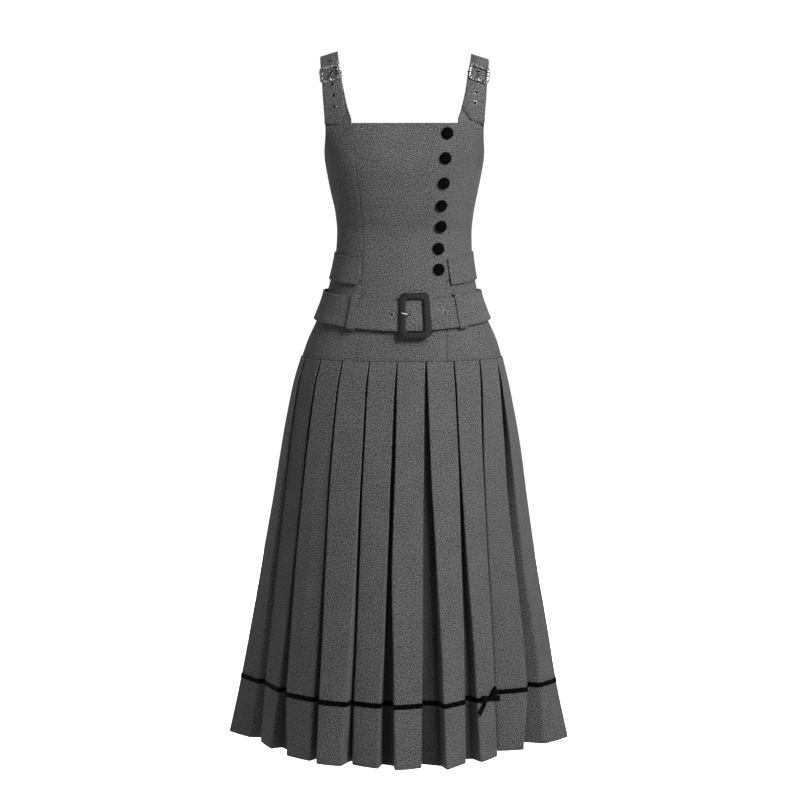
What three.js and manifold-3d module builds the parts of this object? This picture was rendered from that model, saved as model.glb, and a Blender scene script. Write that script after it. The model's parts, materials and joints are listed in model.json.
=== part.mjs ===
// Pinafore dress in charcoal wool, in the hollow form that it has when worn. A square-necked bodice with
// princess seams runs down to a low yoke seam, and a skirt of twenty open pleats hangs from it.
// Millimetres, +Z up, and the front faces -Y. The origin is midway between the two shoulder straps, level
// with their highest point.
//
// A side is -1 for the wearer's right (the viewer's left) and 1 for the other. An angle is measured in
// plan from the centre front, positive towards +X. "Out" is a distance away from the body's surface.

import * as THREE from "three";
import { mergeVertices } from "three/addons/utils/BufferGeometryUtils.js";
import Module from "manifold-3d";

const wasm = await Module();
wasm.setup();

// Driving dimensions

const NECKLINE_Z = -118;
const BACK_TOP_Z = -146;
const UNDERARM_Z = -190;
const YOKE_SEAM_Z = -507;
const HEM_Z = -1158;
const SEAM_GAP = 0.3;
const PANEL_CLOTH = 1.6;
const BACK_SEAM_ANGLE = 145;

const OVERLAP_WIDTH = 10;
const PLACKET_WIDTH = 28;
const PLACKET_RAMP = 18;
const PLACKET_LIFT = PANEL_CLOTH + 0.5;
const PLACKET_END_Z = -374;
const PLACKET_OPEN_Z = -386;
const PLACKET_FLAT_Z = -402;

const PLEATS = 20;
const FIRST_PLEAT_ANGLE = -3.6;
const FACES_LEFT_OF_FIRST = 5;
const SKIRT_CLOTH = 1.4;
const SEAM_PLEAT_GAP = 3.2;
const SEAM_RECESS_DEPTH = 6.5;
const SEAM_UNDERLAP = 17;
const RIBBON_WIDTH = 8;
const RIBBON_TOP_Z = -1054.5;
const RIBBON_CLOTH = 0.8;

const STRAP_CLOTH = 2.2;
const STRAP_CREST_TILT = 2.2;
const STRAP_BUCKLE_AT = 88;
const STRAP_EYELET_PITCH = 19.5;
const STRAP_EYELET_INWARD = 1.5;
const BUCKLE_BAR_RADIUS = 1.1;

const BELT_CLOTH = 2;
const BELT_WIDTH = 51;
const BELT_SIDE_Z = -419;
const BELT_FRONT_DIP = 13;
const BELT_BUCKLE_ANGLE = 9.8;
const BELT_EYELET_PITCH = 29.6;
const BELT_TOP_OUT = 12;
const EYELET_ROW = 1.4;

const BUTTON_RADIUS = 10;
const BUTTON_HEIGHT = 6.5;

// Sections of the body from the top down: half width, depth in front of and behind the axis, squareness
// (2 is an ellipse) and the sideways lean of the axis.
const BODY_SECTIONS = [
  { z: -90, half: 138, front: 101, back: 84, square: 3.2, lean: 0 },
  { z: -118, half: 138, front: 105, back: 86, square: 3.2, lean: 0 },
  { z: -150, half: 137, front: 110, back: 87, square: 2.9, lean: -0.4 },
  { z: -190, half: 131, front: 113, back: 86, square: 2.5, lean: -0.4 },
  { z: -230, half: 123.5, front: 106, back: 80, square: 2.3, lean: -0.4 },
  { z: -268, half: 115.7, front: 96, back: 75, square: 2.25, lean: 0 },
  { z: -300, half: 112.8, front: 89.5, back: 74, square: 2.2, lean: -0.2 },
  { z: -330, half: 114, front: 92, back: 79, square: 2.2, lean: -0.8 },
  { z: -360, half: 117.8, front: 97, back: 87, square: 2.2, lean: -2 },
  { z: -390, half: 124, front: 102, back: 95, square: 2.2, lean: -3.2 },
  { z: -420, half: 133, front: 107.5, back: 101, square: 2.2, lean: -3.5 },
  { z: -450, half: 145.5, front: 113.5, back: 108, square: 2.2, lean: -3.5 },
  { z: -480, half: 159, front: 119, back: 113, square: 2.2, lean: -3.8 },
  { z: -508, half: 168, front: 124, back: 118, square: 2.2, lean: -4.5 },
];

// Sections of the skirt's outer envelope, which the pleat faces follow.
const SKIRT_SECTIONS = [
  { z: -507, half: 169, front: 125, back: 119, square: 2.2, lean: -4.5 },
  { z: -548, half: 181, front: 136, back: 129, square: 2.15, lean: -5.8 },
  { z: -582, half: 189, front: 143, back: 137, square: 2.1, lean: -6.1 },
  { z: -650, half: 202.6, front: 156, back: 151, square: 2.05, lean: -6.4 },
  { z: -753, half: 218.9, front: 175, back: 169, square: 1.98, lean: -8.1 },
  { z: -855, half: 235.8, front: 193, back: 186, square: 1.92, lean: -9.8 },
  { z: -959, half: 253.6, front: 211, back: 203, square: 1.87, lean: -10 },
  { z: -1063, half: 271, front: 229, back: 220, square: 1.83, lean: -11.4 },
  { z: -1158, half: 290, front: 245, back: 235, square: 1.8, lean: -11.6 },
];

// The front princess seams and the armhole edges, from the top down.
const FRONT_SEAM = [
  { z: -118, x: 87 },
  { z: -162, x: 82.5 },
  { z: -225, x: 75.5 },
  { z: -268, x: 71 },
  { z: -301, x: 69.3 },
  { z: -340, x: 68.5 },
  { z: -400, x: 69.5 },
  { z: -456, x: 72 },
  { z: -508, x: 75 },
];
const ARMHOLE_FRONT = [
  { z: -118, y: 66 },
  { z: -130, y: 62 },
  { z: -150, y: 51 },
  { z: -168, y: 36 },
  { z: -182, y: 17 },
  { z: -190, y: 0 },
];
const ARMHOLE_BACK = [
  { z: -146, y: 55 },
  { z: -160, y: 42 },
  { z: -175, y: 26 },
  { z: -185, y: 12 },
  { z: -190, y: 0 },
];

// The strap's underside from the neckline over the shoulder to the back, for side 1. Yaw and drop turn
// the strap's width backwards and downwards, tab is the width of the bodice tab or of the bare strap, and
// strap is the strap's own width. The straps and tabs share their outer edge.
const STRAP_PATH = [
  { x: 109, y: -84.5, z: -118, yaw: 29.6, drop: 0, tab: 50.6, strap: 38.5 },
  { x: 112.6, y: -79, z: -98, yaw: 25, drop: 2, tab: 42.5, strap: 37.5 },
  { x: 116.4, y: -71, z: -74, yaw: 20, drop: 7, tab: 37.8, strap: 36.2 },
  { x: 118.7, y: -62.5, z: -57, yaw: 17, drop: 12, tab: 35, strap: 34 },
  { x: 121.3, y: -49, z: -38, yaw: 14, drop: 18, tab: 33, strap: 32.4 },
  { x: 123.8, y: -32, z: -20.5, yaw: 11, drop: 19, tab: 32, strap: 32 },
  { x: 125.2, y: -13, z: -10, yaw: 6, drop: 18, tab: 31, strap: 31 },
  { x: 125.5, y: 8, z: -7, yaw: 1, drop: 17, tab: 30.5, strap: 30.5 },
  { x: 125.3, y: 29, z: -13, yaw: -5, drop: 14, tab: 30, strap: 30 },
  { x: 123.2, y: 47, z: -30, yaw: -11, drop: 9, tab: 31, strap: 31 },
  { x: 119.3, y: 60.5, z: -58, yaw: -17, drop: 4, tab: 32, strap: 32 },
  { x: 113.5, y: 67.5, z: -98, yaw: -25, drop: 0, tab: 34.5, strap: 34.5 },
  { x: 106.8, y: 65, z: -145.7, yaw: -34, drop: 0, tab: 37.6, strap: 37.6 },
];

// Buttons from the top down: how far each lies in from the overlapping edge, and its base out of the cloth.
const BUTTONS = [
  { z: -135, inset: 15.5, out: -0.25 },
  { z: -175.5, inset: 15.5, out: 0 },
  { z: -215.8, inset: 14.5, out: 0.2 },
  { z: -252.6, inset: 14.5, out: 0.55 },
  { z: -287.1, inset: 12.5, out: 1.1 },
  { z: -323.8, inset: 14.5, out: 0.45 },
  { z: -357.9, inset: 12.5, out: 0.4 },
];

// Where the belt's underside lies: it starts at the buckle's bar, passes once round the body and over its
// own start, and ends beyond the side seam. Turn is in degrees from the centre front.
const BELT_LAY = [
  { turn: BELT_BUCKLE_ANGLE, out: 5.1 },
  { turn: 22, out: 4.4 },
  { turn: 36, out: 2.6 },
  { turn: 60, out: 1.8 },
  { turn: 120, out: 1.8 },
  { turn: 180, out: 3.5 },
  { turn: 270, out: 5.2 },
  { turn: 325, out: 6 },
  { turn: 350, out: 7.4 },
  { turn: 372, out: 7.6 },
  { turn: 384, out: 6.9 },
  { turn: 396, out: 5.4 },
  { turn: 420, out: 4.9 },
  { turn: 450, out: 5 },
  { turn: 470, out: 4.6 },
];
const BELT_TIP_TURN = 462;
const BELT_LOOP_ANGLES = { belt_loop_front_left: -40, belt_loop_front_right: 47,
  belt_loop_back_right: 138, belt_loop_back_left: -138 };

// The pleat faces in order from the viewer's left, at the hem: the angle of the middle, how far it stands
// out of the envelope, its width, its turn out of the envelope's direction, and the depth of the recess
// that follows it. The first ten are the front's.
const PLEAT_FACES = [
  { at: -91.5, out: -17, wide: 56, turn: 44, deep: 30 },
  { at: -70.9, out: -44, wide: 52, turn: -9, deep: 16 },
  { at: -45.1, out: -21, wide: 52, turn: -7, deep: 28 },
  { at: -28.4, out: -6, wide: 45, turn: 1, deep: 28 },
  { at: -13.9, out: -15, wide: 48, turn: -19, deep: 24 },
  { at: 3.8, out: -3, wide: 45, turn: 16, deep: 22 },
  { at: 23, out: -2, wide: 52, turn: 35, deep: 22 },
  { at: 41.3, out: -24, wide: 52, turn: 24, deep: 20 },
  { at: 58.2, out: -42, wide: 45, turn: -33, deep: 32 },
  { at: 82.4, out: -11, wide: 55, turn: -25, deep: 30 },
  { at: 99, out: -14, wide: 50, turn: 14, deep: 24 },
  { at: 116, out: -22, wide: 48, turn: -10, deep: 28 },
  { at: 133, out: -8, wide: 50, turn: 8, deep: 25 },
  { at: 150, out: -5, wide: 47, turn: -14, deep: 30 },
  { at: 167.5, out: -15, wide: 49, turn: 10, deep: 26 },
  { at: 185, out: -4, wide: 47, turn: -6, deep: 28 },
  { at: 202, out: -13, wide: 50, turn: 15, deep: 24 },
  { at: 219, out: -16, wide: 48, turn: -12, deep: 29 },
  { at: 235.5, out: -8, wide: 49, turn: 9, deep: 26 },
  { at: 251, out: -18, wide: 50, turn: -16, deep: 24 },
];
const SKIRT_ROWS = [YOKE_SEAM_Z - SEAM_GAP, -535, -575, -640, -740, -860, -970, RIBBON_TOP_Z,
  RIBBON_TOP_Z - RIBBON_WIDTH, HEM_Z];

const CLOTH = new THREE.MeshStandardMaterial({ color: 0x4b4b4d, roughness: 0.95, metalness: 0 });
const VELVET = new THREE.MeshStandardMaterial({ color: 0x0b0b0c, roughness: 0.9, metalness: 0 });
const COVERED = new THREE.MeshStandardMaterial({ color: 0x2c2c2e, roughness: 0.75, metalness: 0 });
const SILVER = new THREE.MeshStandardMaterial({ color: 0xc4c6ca, roughness: 0.25, metalness: 1 });

const dress = new THREE.Group();

function addPiece(name, geometry, material, parent = dress) {
  const piece = new THREE.Mesh(geometry, material.clone());
  piece.name = name;
  parent.add(piece);
  return piece;
}

// Numbers and curves

const radians = (degrees) => (degrees * Math.PI) / 180;
const degrees = (angle) => (angle * 180) / Math.PI;
const mix = (a, b, t) => a + (b - a) * t;
const clamp01 = (t) => Math.min(1, Math.max(0, t));
const smooth = (t) => clamp01(t) ** 2 * (3 - 2 * clamp01(t));
const steps = (count, from, to) =>
  Array.from({ length: count + 1 }, (_, i) => mix(from, to, i / count));

// A smooth curve through a table's rows that never overshoots them.
function curveThrough(rows, key, column) {
  const sorted = [...rows].sort((a, b) => a[key] - b[key]);
  const at = sorted.map((row) => row[key]);
  const value = sorted.map((row) => row[column]);
  const rise = at.slice(1).map((x, i) => (value[i + 1] - value[i]) / (x - at[i]));
  const slope = at.map((_, i) => {
    if (i === 0) return rise[0];
    if (i === at.length - 1) return rise[i - 1];
    if (rise[i - 1] * rise[i] <= 0) return 0;
    return (2 * rise[i - 1] * rise[i]) / (rise[i - 1] + rise[i]);
  });
  return (x) => {
    let i = at.findIndex((next) => next > x) - 1;
    if (x < at[0]) i = 0;
    if (i < 0) i = at.length - 2;
    const span = at[i + 1] - at[i];
    const t = clamp01((x - at[i]) / span);
    const h = t * t * (3 - 2 * t);
    const bend = span * t * (1 - t) * ((1 - t) * slope[i] - t * slope[i + 1]);
    return mix(value[i], value[i + 1], h) + bend;
  };
}

// A stack of closed plan sections, each a superellipse with its own front and back depth.
class Envelope {
  constructor(sections) {
    for (const column of ["half", "front", "back", "square", "lean"])
      this[column] = curveThrough(sections, "z", column);
  }

  point(z, angle, out = 0) {
    const turn = radians(angle);
    const power = this.square(z);
    const half = this.half(z);
    const depth = Math.cos(turn) > 0 ? this.front(z) : this.back(z);
    const across = Math.sin(turn) / half;
    const along = -Math.cos(turn) / depth;
    const reach = (Math.abs(across) ** power + Math.abs(along) ** power) ** (-1 / power);
    const normal = new THREE.Vector3(
      (Math.sign(across) * Math.abs(across * reach) ** (power - 1)) / half,
      (Math.sign(along) * Math.abs(along * reach) ** (power - 1)) / depth,
      0,
    ).normalize();
    const x = reach * Math.sin(turn) + this.lean(z);
    const place = new THREE.Vector3(x, -reach * Math.cos(turn), z);
    return { place: place.addScaledVector(normal, out), normal };
  }

  // The angle of the front point a given distance to the side of the axis.
  angleAcross(z, x) {
    const power = this.square(z);
    const depth = this.front(z) * (1 - (Math.abs(x) / this.half(z)) ** power) ** (1 / power);
    return degrees(Math.atan2(x, depth));
  }

  // The angle of the point of side 1 a given distance before (positive) or behind the axis.
  angleAlong(z, y) {
    const power = this.square(z);
    const depth = y > 0 ? this.front(z) : this.back(z);
    const across = this.half(z) * (1 - (Math.abs(y) / depth) ** power) ** (1 / power);
    return degrees(Math.atan2(across, y));
  }

  // Angles that split the section at a height into stretches of equal length.
  evenAngles(z, first, count) {
    const fine = steps(1440, first, first + 360);
    const places = fine.map((angle) => this.point(z, angle).place);
    const run = [0];
    for (let i = 1; i < places.length; i++)
      run.push(run[i - 1] + places[i].distanceTo(places[i - 1]));
    const total = run[run.length - 1];
    return steps(count, 0, total).map((goal) => fine[run.findIndex((s) => s >= goal - 1e-6)]);
  }

  // Millimetres of the section's length for each degree at an angle, a distance out of it.
  lengthPerDegree(z, angle, out = 0) {
    return this.point(z, angle + 0.5, out).place.distanceTo(this.point(z, angle - 0.5, out).place);
  }
}

const body = new Envelope(BODY_SECTIONS);
const skirtEnvelope = new Envelope(SKIRT_SECTIONS);

// Solids

function geometryFrom(points, triangles) {
  const geometry = new THREE.BufferGeometry();
  const flat = points.flatMap((p) => [p.x, p.y, p.z]);
  geometry.setAttribute("position", new THREE.Float32BufferAttribute(flat, 3));
  geometry.setIndex(triangles);
  geometry.computeVertexNormals();
  return geometry;
}

// A wall between two grids of points. Rows go up and columns to the right as seen from outside.
function wall(outer, inner) {
  const rows = outer.length;
  const columns = outer[0].length;
  const index = (i, j) => i * columns + j;
  const inside = rows * columns;
  const triangles = [];
  for (let i = 0; i + 1 < rows; i++)
    for (let j = 0; j + 1 < columns; j++) {
      const [a, b, c, d] = [index(i, j), index(i, j + 1), index(i + 1, j + 1), index(i + 1, j)];
      triangles.push(a, b, c, a, c, d);
      triangles.push(a + inside, c + inside, b + inside, a + inside, d + inside, c + inside);
    }
  const rim = [
    ...steps(columns - 1, 0, columns - 1).map((j) => index(0, Math.round(j))),
    ...steps(rows - 1, 0, rows - 1).slice(1).map((i) => index(Math.round(i), columns - 1)),
    ...steps(columns - 1, columns - 1, 0).slice(1).map((j) => index(rows - 1, Math.round(j))),
    ...steps(rows - 1, rows - 1, 0).slice(1).map((i) => index(Math.round(i), 0)),
  ];
  for (let k = 0; k + 1 < rim.length; k++) {
    const [u, v] = [rim[k], rim[k + 1]];
    triangles.push(v, u, u + inside, v, u + inside, v + inside);
  }
  return geometryFrom([...outer.flat(), ...inner.flat()], triangles);
}

// A flat ring between two outlines with as many points each. The profile's rows say how far in from the
// outer outline and how high each of its points is.
function outlineRing(outer, inner, profile) {
  const count = profile.length;
  const points = outer.flatMap((p, k) =>
    profile.map(({ inward, high }) =>
      new THREE.Vector3(mix(p.x, inner[k].x, inward), mix(p.y, inner[k].y, inward), high)),
  );
  const triangles = [];
  for (let k = 0; k < outer.length; k++)
    for (let i = 0; i < count; i++) {
      const next = (k + 1) % outer.length;
      const [a, b] = [k * count + i, k * count + ((i + 1) % count)];
      const [d, c] = [next * count + i, next * count + ((i + 1) % count)];
      triangles.push(a, b, c, a, c, d);
    }
  return geometryFrom(points, triangles);
}

function toSolid(geometry) {
  const bare = geometry.clone();
  for (const name of ["normal", "uv"]) bare.deleteAttribute(name);
  const merged = mergeVertices(bare, 1e-4);
  return new wasm.Manifold(
    new wasm.Mesh({
      numProp: 3,
      vertProperties: merged.attributes.position.array,
      triVerts: new Uint32Array(merged.index.array),
    }),
  );
}

function toGeometry(solid) {
  const data = solid.getMesh();
  const geometry = new THREE.BufferGeometry();
  geometry.setAttribute("position", new THREE.BufferAttribute(data.vertProperties, 3));
  geometry.setIndex(new THREE.BufferAttribute(data.triVerts, 1));
  geometry.computeVertexNormals();
  return geometry;
}

const joined = (geometries) =>
  toGeometry(geometries.map(toSolid).reduce((whole, piece) => whole.add(piece)));
const pierced = (geometry, cutters) =>
  toGeometry(cutters.map(toSolid).reduce((whole, cutter) => whole.subtract(cutter), toSolid(geometry)));

// A round rod along a smooth path.
function rod(points, radius, pathSteps, sides = 6) {
  const outline = steps(sides, 0, 2 * Math.PI)
    .slice(0, -1)
    .map((turn) => new THREE.Vector2(radius * Math.cos(turn), radius * Math.sin(turn)));
  return new THREE.ExtrudeGeometry(new THREE.Shape(outline), {
    steps: pathSteps,
    extrudePath: new THREE.CatmullRomCurve3(points),
    bevelEnabled: false,
  });
}

// The path a given distance to the left of another. A sharp outer corner is cut short.
function offsetPath(path, distance, longest = 1.6) {
  const directions = path.slice(1).map((p, i) => new THREE.Vector2().subVectors(p, path[i]).normalize());
  return path.map((p, i) => {
    const before = directions[Math.max(0, i - 1)];
    const after = directions[Math.min(directions.length - 1, i)];
    const normal = new THREE.Vector2(-before.y - after.y, before.x + after.x).normalize();
    const share = Math.max(0.12, normal.x * -before.y + normal.y * before.x);
    const outside = (before.x * after.y - before.y * after.x) * distance < 0;
    const reach = outside ? Math.min(1 / share, longest) : 1 / share;
    return p.clone().addScaledVector(normal, distance * reach);
  });
}

// Bodice panels

const frontSeamX = curveThrough(FRONT_SEAM, "z", "x");
const armholeFrontY = curveThrough(ARMHOLE_FRONT, "z", "y");
const armholeBackY = curveThrough(ARMHOLE_BACK, "z", "y");
const frontSeamAngle = (z) => body.angleAcross(z, frontSeamX(z));
const seamShift = (z, angle) => SEAM_GAP / 2 / body.lengthPerDegree(z, angle);

// How far the front centre panel stands out where its right edge laps over the next panel.
function placketLift(z, angle) {
  const toEdge = (frontSeamAngle(z) - angle) * body.lengthPerDegree(z, angle);
  const height = clamp01((z - PLACKET_FLAT_Z) / (PLACKET_OPEN_Z - PLACKET_FLAT_Z));
  return PLACKET_LIFT * height * smooth((PLACKET_WIDTH + PLACKET_RAMP - toEdge) / PLACKET_RAMP);
}

function panelGrid(heights, columns, leftAngle, rightAngle, out) {
  return heights.map((z) =>
    steps(columns, leftAngle(z), rightAngle(z)).map((angle) => body.point(z, angle, out(z, angle)).place),
  );
}

function panel(heights, columns, leftAngle, rightAngle, lift = () => 0) {
  const outer = panelGrid(heights, columns, leftAngle, rightAngle, lift);
  const inside = (z, angle) => lift(z, angle) - PANEL_CLOTH;
  return wall(outer, panelGrid(heights, columns, leftAngle, rightAngle, inside));
}

const BODICE_HEIGHTS = [YOKE_SEAM_Z, -478, -448, -425, PLACKET_FLAT_Z, PLACKET_OPEN_Z, PLACKET_END_Z, -352,
  -330, -315, -300, -284, -268, -230, UNDERARM_Z];

function addFrontCentre() {
  const heights = [...BODICE_HEIGHTS, -160, NECKLINE_Z];
  const left = (z) => -frontSeamAngle(z) + seamShift(z, -30);
  addPiece("front_centre", panel(heights, 11, left, frontSeamAngle, placketLift), CLOTH);
}

function addBackPanels() {
  const heights = [...BODICE_HEIGHTS, BACK_TOP_Z];
  const edge = BACK_SEAM_ANGLE;
  const left = (z) => edge + seamShift(z, edge);
  const right = (z) => 360 - edge - seamShift(z, edge);
  addPiece("back_centre", panel(heights, 7, left, right), CLOTH);
  const sideHeights = [...BODICE_HEIGHTS, -185, -175, -160, BACK_TOP_Z];
  const sideEdge = (z) => body.angleAlong(z, z > UNDERARM_Z ? -armholeBackY(z) : 0) + seamShift(z, 90);
  const backEdge = (z) => edge - seamShift(z, edge);
  addPiece("side_back_right", panel(sideHeights, 6, sideEdge, backEdge), CLOTH);
  const mirrored = [(z) => -backEdge(z), (z) => -sideEdge(z)];
  addPiece("side_back_left", panel(sideHeights, 6, ...mirrored), CLOTH);
}

// Straps

const strapStations = STRAP_PATH.map((row) => ({ ...row, along: 0 }));
for (let i = 1; i < strapStations.length; i++) {
  const [a, b] = [strapStations[i - 1], strapStations[i]];
  b.along = a.along + Math.hypot(b.x - a.x, b.y - a.y, b.z - a.z);
}
const STRAP_LENGTH = strapStations[strapStations.length - 1].along;
const strapCurves = {};
for (const column of ["x", "y", "z", "yaw", "drop", "tab", "strap"])
  strapCurves[column] = curveThrough(strapStations, "along", column);

// The crest of strap 1 lies a little lower than the other's.
function strapPlace(side, along) {
  const { x, y, z } = strapCurves;
  const high = z(along);
  const settled = high - side * STRAP_CREST_TILT * smooth((high + 40) / 25);
  return new THREE.Vector3(side * x(along), y(along), settled);
}

// The frame at a distance along the strap: right, up along the strap, and out of it.
function strapFrame(side, along) {
  const place = strapPlace(side, along);
  const ahead = strapPlace(side, Math.min(STRAP_LENGTH, along + 2));
  const up = ahead.sub(strapPlace(side, Math.max(0, along - 2))).normalize();
  const yaw = radians(strapCurves.yaw(along));
  const drop = radians(strapCurves.drop(along));
  const right = new THREE.Vector3(
    Math.cos(yaw) * Math.cos(drop),
    side * Math.sin(yaw) * Math.cos(drop),
    -side * Math.sin(drop),
  );
  right.addScaledVector(up, -right.dot(up)).normalize();
  const out = new THREE.Vector3().crossVectors(right, up);
  const matrix = new THREE.Matrix4().makeBasis(right, up, out).setPosition(place);
  return { matrix, at: (u, v, n) => new THREE.Vector3(u, v, n).applyMatrix4(matrix) };
}

// A point of the strap or tab: 0 to 1 across from the viewer's left, for a strip of the given width.
function strapPoint(side, along, across, width, high) {
  const outerEdge = strapCurves.tab(along) / 2;
  const left = side > 0 ? outerEdge - width : -outerEdge;
  return strapFrame(side, along).at(left + across * width, 0, high);
}

const TAB_TOP = -SEAM_GAP;
const TAB_UNDER = TAB_TOP - PANEL_CLOTH;
const BAR_CENTRE = TAB_UNDER - SEAM_GAP - BUCKLE_BAR_RADIUS;

// The tab's end folds back over the buckle's bar. The path is its inner surface, in the buckle's frame.
function foldOverBar(barHeight, tail) {
  const radius = BUCKLE_BAR_RADIUS + SEAM_GAP;
  const arc = steps(6, 90, -90).map((turn) =>
    new THREE.Vector2(radius * Math.cos(radians(turn)), barHeight + radius * Math.sin(radians(turn))));
  return [...arc, new THREE.Vector2(-tail, barHeight - radius)];
}

function sideFront(side) {
  const columns = 5;
  const lapped = (z) => side > 0 && z >= PLACKET_END_Z;
  const nearSeam = (z) => frontSeamAngle(z) + (lapped(z) ? -OVERLAP_WIDTH : SEAM_GAP) /
    body.lengthPerDegree(z, 35);
  const sideEdge = (z) => body.angleAlong(z, z > UNDERARM_Z ? armholeFrontY(z) : 0) - seamShift(z, 90);
  const order = (row) => (side > 0 ? row : row.reverse());
  const heights = [...BODICE_HEIGHTS, -182, -168, -150, -134];
  const tabBlend = (z) => smooth((z + 168) / 50);
  const bodyRow = (z, out) => {
    const blend = tabBlend(z);
    return order(steps(columns, nearSeam(z), sideEdge(z)).map((angle, j) => {
      const place = body.point(z, side * angle, out).place;
      const tab = strapPoint(side, 0, side > 0 ? j / columns : 1 - j / columns, strapCurves.tab(0),
        TAB_TOP + out);
      tab.z = z;
      return place.lerp(tab, blend);
    }));
  };
  const tabRow = (along, high) =>
    steps(columns, 0, 1).map((across) => strapPoint(side, along, across, strapCurves.tab(along), high));
  const tabRuns = [0.6, 20, 42, 62, 76];
  const frame = strapFrame(side, STRAP_BUCKLE_AT);
  const halfTab = strapCurves.tab(STRAP_BUCKLE_AT) / 2;
  const fold = foldOverBar(BAR_CENTRE, 9);
  const foldRow = ({ x, y }) => steps(columns, -halfTab, halfTab).map((u) => frame.at(u, x, y));
  const outer = [
    ...heights.map((z) => bodyRow(z, 0)),
    ...tabRuns.map((along) => tabRow(along, TAB_TOP)),
    ...offsetPath(fold, PANEL_CLOTH).map(foldRow),
  ];
  const inner = [
    ...heights.map((z) => bodyRow(z, -PANEL_CLOTH)),
    ...tabRuns.map((along) => tabRow(along, TAB_UNDER)),
    ...fold.map(foldRow),
  ];
  const slot = new THREE.BoxGeometry(3.4, 7.4, 6.6).translate(0, -0.1, BAR_CENTRE + 0.1);
  return pierced(wall(outer, inner), [slot.applyMatrix4(eyeletFrame(side, STRAP_BUCKLE_AT))]);
}

// How far below the strap's first station each point of its end lies, from the outer edge inwards.
const STRAP_TIP = [
  { across: 0, below: 1 },
  { across: 0.35, below: 2.5 },
  { across: 0.7, below: 4 },
  { across: 1, below: -7 },
];
const strapEyelets = [-3, -2, -1, 0, 1].map((k) => STRAP_BUCKLE_AT + 1 + k * STRAP_EYELET_PITCH);

function strap(side) {
  const runs = [14, 26, 45, 62, 76, 88, 100, 112, 122, 132, 142, 152, 164, 178, 196, 222, 255,
    STRAP_LENGTH];
  const row = (high) => {
    const place = (along, across) =>
      strapPoint(side, along, side > 0 ? 1 - across : across, strapCurves.strap(along), high);
    const tip = STRAP_TIP.map(({ across, below }) => {
      const start = place(Math.max(0, -below), across);
      return below > 0 ? start.add(new THREE.Vector3(0, -0.25 * below, -0.97 * below)) : start;
    });
    const rest = runs.map((along) => STRAP_TIP.map(({ across }) => place(along, across)));
    for (const end of rest[rest.length - 1]) end.z = BACK_TOP_Z + SEAM_GAP;
    return [tip, ...rest].map((points) => (side > 0 ? points.reverse() : points));
  };
  const holes = strapEyelets.map((along) =>
    new THREE.CylinderGeometry(2.75, 2.75, 8, 7).rotateX(Math.PI / 2)
      .applyMatrix4(eyeletFrame(side, along)));
  return pierced(wall(row(STRAP_CLOTH), row(0)), holes);
}

// Eyelets and prong sit near the middle of the strap.
function eyeletFrame(side, along) {
  const frame = strapFrame(side, along);
  const outward = (strapCurves.tab(along) - strapCurves.strap(along)) / 2 - STRAP_EYELET_INWARD;
  return frame.matrix.clone().setPosition(frame.at(side * outward, 0, 0));
}

function eyelet(cloth) {
  const profile = [
    [1.8, 0.2],
    [2.2, 0.2],
    [2.2, cloth + 0.35],
    [3.5, cloth + 0.35],
    [1.8, cloth + 0.8],
    [1.8, 0.2],
  ].map(([x, y]) => new THREE.Vector2(x, y));
  return new THREE.LatheGeometry(profile, 8).rotateX(Math.PI / 2);
}

// Points round a rectangle with round corners.
function roundedOutline(halfWidth, halfHeight, radius, perCorner, perSide) {
  const corners = [
    [1, 1, 0],
    [-1, 1, 90],
    [-1, -1, 180],
    [1, -1, 270],
  ];
  const points = corners.flatMap(([sx, sy, first]) =>
    steps(perCorner, first, first + 90).map((turn) =>
      new THREE.Vector2(
        sx * (halfWidth - radius) + radius * Math.cos(radians(turn)),
        sy * (halfHeight - radius) + radius * Math.sin(radians(turn)),
      )),
  );
  return points.flatMap((p, k) => {
    const next = points[(k + 1) % points.length];
    const lastOfCorner = k % (perCorner + 1) === perCorner;
    return lastOfCorner ? steps(perSide, 0, 1).slice(0, -1).map((t) => p.clone().lerp(next, t)) : [p];
  });
}

const STRAP_FRAME = { halfWidth: 18.6, halfHeight: 17.6, openHalfWidth: 15.2, openHalfHeight: 12.8,
  scallop: 1.5, back: STRAP_CLOTH + 1.1, thick: 2.6 };

function strapBuckle(side) {
  const { halfWidth, halfHeight, openHalfWidth, openHalfHeight, scallop, back, thick } = STRAP_FRAME;
  const plain = roundedOutline(halfWidth, halfHeight, 6, 3, 6);
  const outer = plain.map((p, k) => p.clone().setLength(p.length() + (k % 2 ? scallop : 0)));
  const inner = roundedOutline(openHalfWidth, openHalfHeight, 2, 3, 6);
  const ring = outlineRing(outer, inner, [
    { inward: 0, high: back },
    { inward: 1, high: back },
    { inward: 0.85, high: back + thick * 0.8 },
    { inward: 0.45, high: back + thick },
    { inward: 0.1, high: back + thick * 0.6 },
  ]);
  const railHeight = back + 1 - BAR_CENTRE + BUCKLE_BAR_RADIUS;
  const rails = [-1, 1].map((end) =>
    new THREE.BoxGeometry(1.6, 5, railHeight).translate(end * 17.9, 0, back + 1 - railHeight / 2));
  const bar = new THREE.CylinderGeometry(BUCKLE_BAR_RADIUS, BUCKLE_BAR_RADIUS, 35.6, 8)
    .rotateZ(Math.PI / 2).translate(0, 0, BAR_CENTRE);
  return joined([ring, ...rails, bar]).applyMatrix4(strapFrame(side, STRAP_BUCKLE_AT).matrix);
}

// A prong: a ring round the bar, and a pin that passes through an eyelet and rests on the frame.
const prongRing = () => new THREE.TorusGeometry(BUCKLE_BAR_RADIUS + SEAM_GAP + 0.65, 0.65, 5, 9);
const prong = (ring, pinPath) => joined([ring, rod(pinPath, 0.7, 10)]);

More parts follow.
